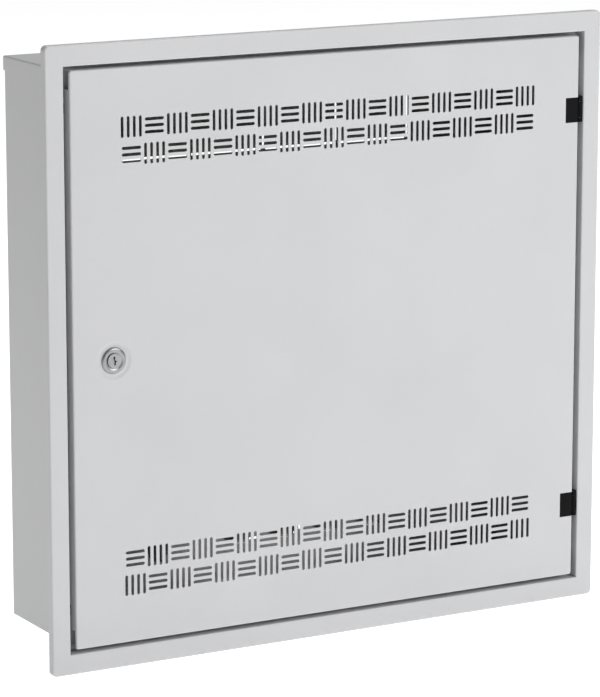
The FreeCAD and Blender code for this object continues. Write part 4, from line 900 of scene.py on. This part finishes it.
# %% [markdown]
# ## Return valves
#
# On the return bar each circuit has a brass insert with a sprung pin, and over it a white hand cap with
# ribs. Turning the cap down pushes the pin in and closes the circuit.
# %% Inserts, pins and hand caps
valve_foot = Vector((0, BAR["return"].y, BAR["return"].z + BRANCH_TOP))
INSERT = [(1.6, 0.4), (14.2, 0.4), (14.2, 14.2), (13.6, 15), (6, 15), (6, 19.4), (5.4, 20), (1.6, 20)]
inserts = []
for i, x in zip(CIRCUITS, PORT_X):
    at = Vector((x, valve_foot.y, valve_foot.z))
    inserts.append(put(hexed(24.2, 5, 1.6, 1.2), at, spin=30))
    inserts.append(put(turned(INSERT, True), at))
    inserts.append(put(threaded(14.85, 0.6, 1.5, 9.4), at + Vector((0, 0, 0.0052))))
    low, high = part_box(f"valve_spindle_{i}")
    tall = (high.z - low.z) * 1000
    ROD = [(0, 0), (1.1, 0), (1.5, 0.4), (1.5, tall - 0.4), (1.1, tall), (0, tall)]
    piece(f"valve_pin_{i}", f"valve_spindle_{i}", [put(turned(ROD, soft=0, steps=24), (x, at.y, low.z))])
    low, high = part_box(f"hand_cap_{i}")
    skirt = [
        (0, 16.0, 16.0), (0.7, 16.5, 16.5), (1.6, 15.9, 17.0), (19.5, 15.7, 16.8), (21.5, 16.2, 16.2),
        (22.4, 16.0, 16.0), (25.6, 14.6, 14.6), (26.6, 13.4, 13.4), (26.6, 11.4, 11.4),
        (26.0, 11.0, 11.0), (26.0, 0.4, 0.4),
    ]
    cap = ribbed(skirt, 24)
    bottom = [f for f in cap.faces if len(f.verts) > 8 and f.calc_center_median().z < 1]
    bmesh.ops.inset_region(cap, faces=bottom, thickness=1.0, depth=0, use_even_offset=True)
    grown = bmesh.ops.extrude_face_region(cap, geom=bottom)
    bmesh.ops.delete(cap, geom=bottom, context="FACES")
    bmesh.ops.translate(
        cap, verts=[v for v in grown["geom"] if isinstance(v, bmesh.types.BMVert)], vec=(0, 0, 19)
    )
    bmesh.ops.recalc_face_normals(cap, faces=cap.faces)
    pointer = slab((2.0, 9.0, 0.7), 0.9, 0.15, (0, -5.4, 26.3))
    piece(
        f"hand_cap_{i}_ribbed",
        f"hand_cap_{i}",
        [put(cap, (x, at.y, low.z)), put(pointer, (x, at.y, low.z))],
    )
piece("valve_inserts", "return_valve_inserts", inserts)

# %% [markdown]
# ## Union nuts and ball valves
#
# A union nut pulls each fitting's flange against a gasket on the bar's end. On the right, ball valves
# close the supply and the return. Their bodies are turned from forged brass and plated, with a hexagon at
# the pipe's side and a boss for the stem, which a small gland nut seals.
# %% Union nuts
low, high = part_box("union_nuts")
unions = []
COLLAR = [(13.6, 16.6), (17.8, 16.6), (18.4, 17.4), (18.4, 19.2), (17.6, 20), (13.6, 20)]
for name in BAR:
    for side, way in ((-1, "-X"), (1, "X")):
        at = Vector((side * (high.x - 0.020), BAR[name].y, BAR[name].z))
        unions.append(put(hexed(38.1, 16.6, 16.6, 1.8), at, way, 30))
        unions.append(put(turned(COLLAR, True, 60), at, way))
piece("union_hex_nuts", "union_nuts", unions)

# %% Ball valve bodies
bodies = []
for name in BAR:
    start = Vector((BAR_END, BAR[name].y, BAR[name].z))
    OUTER = [
        (9, 0), (16.1, 0), (16.1, 3), (13.1, 3.2), (13.1, 8), (17, 9.4), (19.4, 12.5), (20, 16),
        (20, 36), (19.2, 39), (18.5, 42), (18.5, 48.6), (19.4, 49.0),
    ]
    MOUTH = [(20.2, 49.6), (20.2, 59.2), (19.5, 60), (15.9, 60), (15.1, 59.2), (15.1, 46), (9, 46)]
    bodies.append(put(turned(OUTER + MOUTH, True, 72, 0.15), start, "X"))
    bodies.append(put(hexed(37.0, 10, 19.4, 1.6), start + Vector((0.0498, 0, 0)), "X", 30))
    stem = Vector((BALL[name].x, BAR[name].y, BAR[name].z))
    BOSS = [(5.1, 12), (10.4, 12), (10.4, 19.6), (9.0, 20.8), (9.0, 21.4), (5.1, 21.4)]
    bodies.append(put(turned(BOSS, True, 48, 0.15), stem, "-Y"))
    bodies.append(put(hexed(14.5, 2.5, 5.1, 0.8), stem + Vector((0, -0.0214, 0)), "-Y"))
    bodies.append(put(threaded(15.15, 0.5, 2.3, 12), start + Vector((0.0465, 0, 0)), "X"))
piece("ball_valve_shells", "ball_valve_bodies", bodies)

# %% [markdown]
# The butterfly handles are moulded: red on the supply and blue on the return. Each has a domed hub, two
# wings with finger ridges, and a plated cap nut on the stem.
# %% Stems and handles
for name in BAR:
    low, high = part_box(f"{name}_valve_stem")
    stem = Vector((BALL[name].x, 0, BAR[name].z))
    long = (high.y - low.y) * 1000
    STEM = [
        (0, 0), (4.4, 0), (5, 0.6), (5, long - 9.6), (4.6, long - 9.4), (4.6, long - 1), (3.8, long),
        (0, long),
    ]
    piece(
        f"{name}_stem_turned",
        f"{name}_valve_stem",
        [put(turned(STEM, steps=32, soft=0.1), (stem.x, high.y, stem.z), "-Y")],
    )
    low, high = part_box(f"{name}_valve_handle")
    base = Vector((stem.x, high.y, stem.z))
    HUB = [(5.05, 0), (9.6, 0), (10, 0.5), (10, 6.6), (9.2, 7.8), (7.6, 8.5), (5.05, 8.5)]
    shapes = [put(turned(HUB, True, 48, 0.15), base, "-Y")]
    for side in SIDES:
        shapes.append(put(slab((24, 13, 7), 4.6, 0.9, (side * 19, 0, 3.5)), base, "-Y"))
        for k in range(4):
            shapes.append(
                put(slab((1.4, 9.4, 0.8), 0.5, 0.2, (side * (16 + k * 3.6), 0, 7.0)), base, "-Y")
            )
    piece(f"{name}_butterfly", f"{name}_valve_handle", shapes)

# %% [markdown]
# ## End pieces, air vents and drain cocks
#
# The left end of each bar is closed by a turned end piece with two bosses. The upper one takes an air
# vent with a small knurled cap, and the lower one a drain cock whose ribbed cap has a square drive, which
# also opens the cock.
# %% End pieces
ends = []
END_INSIDE = [(0, 32), (9, 32), (9, 0), (16.1, 0), (16.1, 3)]
END_OUTSIDE = [(13.1, 3.2), (13.1, 8), (15.5, 9.2), (15.5, 32.4), (14.6, 34.4), (12.5, 36), (0, 36)]
END_BOSS = [(4, 9), (10.6, 9), (10.6, 14.6), (9.5, 16.4), (9.5, 19), (9.0, 19.5), (4, 19.5)]
for name in BAR:
    ends.append(
        put(turned(END_INSIDE + END_OUTSIDE, False, 64, 0.15), (-BAR_END, BAR[name].y, BAR[name].z), "-X")
    )
    for way in ("Z", "-Z"):
        ends.append(put(turned(END_BOSS, True, 40, 0.12), (END_X, BAR[name].y, BAR[name].z), way))
piece("end_fittings", "end_pieces", ends)

# %% Air vents
vents = []
BARREL = [
    (0, -6), (4, -6), (4, 0.4), (7.2, 6), (8, 6.8), (8, 9.4), (7.4, 10), (7.4, 11), (8, 11.6), (8, 20.4),
    (7, 22), (3.0, 22), (3.0, 25.6), (2.6, 26), (0, 26),
]
for name in BAR:
    foot = Vector((END_X, BAR[name].y, BAR[name].z + BOSS_TOP))
    vents.append(put(hexed(17.3, 6, 0, 1.0), foot, spin=30))
    vents.append(put(turned(BARREL, steps=40, soft=0.12), foot))
    low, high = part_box(f"{name}_air_vent_cap")
    knurl = [
        (0, 4.2, 4.2), (0.5, 4.6, 4.6), (1.2, 4.5, 5.0), (6.0, 4.5, 5.0), (6.8, 4.6, 4.6),
        (8.0, 3.6, 3.6), (8.0, 0.2, 0.2),
    ]
    shapes = [put(ribbed(knurl, 16), (foot.x, foot.y, low.z))]
    piece(f"{name}_vent_cap_ribbed", f"{name}_air_vent_cap", shapes)
piece("air_vents", "air_vent_bodies", vents)

# %% Drain cocks
drains = []
COCK = [
    (0, -6), (4, -6), (4, 0), (8.2, 0.2), (9, 1.0), (9, 7.4), (8.2, 8.4), (5.5, 10), (5.5, 14),
    (7.4, 15), (7.5, 25), (6.5, 26), (3, 26), (3, 12), (0, 12),
]
for name in BAR:
    head = Vector((END_X, BAR[name].y, BAR[name].z - BOSS_TOP))
    drains.append(put(turned(COCK, steps=44, soft=0.12), head, "-Z"))
    low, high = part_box(f"{name}_drain_cap")
    grip = [
        (0, 9.2, 9.2), (0.6, 9.8, 9.8), (1.4, 9.2, 9.96), (10.6, 9.2, 9.96), (11.6, 9.4, 9.4),
        (14.0, 8.6, 8.6), (14.0, 0.3, 0.3),
    ]
    shapes = [
        put(ribbed(grip, 18), (head.x, head.y, high.z), "-Z"),
        put(slab((6, 6, 5.4), 0.6, 0.4, (0, 0, 16.4)), (head.x, head.y, high.z), "-Z"),
    ]
    piece(f"{name}_drain_cap_ribbed", f"{name}_drain_cap", shapes)
piece("drain_cocks", "drain_cock_bodies", drains)

# %% [markdown]
# ## The finished model's box
#
# The finished model must not be bigger than the solid one, so its box is printed here, like the solid
# model's box at the start.
# %% Boxes
low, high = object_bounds()
print("finished model from", tuple(round(v, 3) for v in low), "to", tuple(round(v, 3) for v in high))
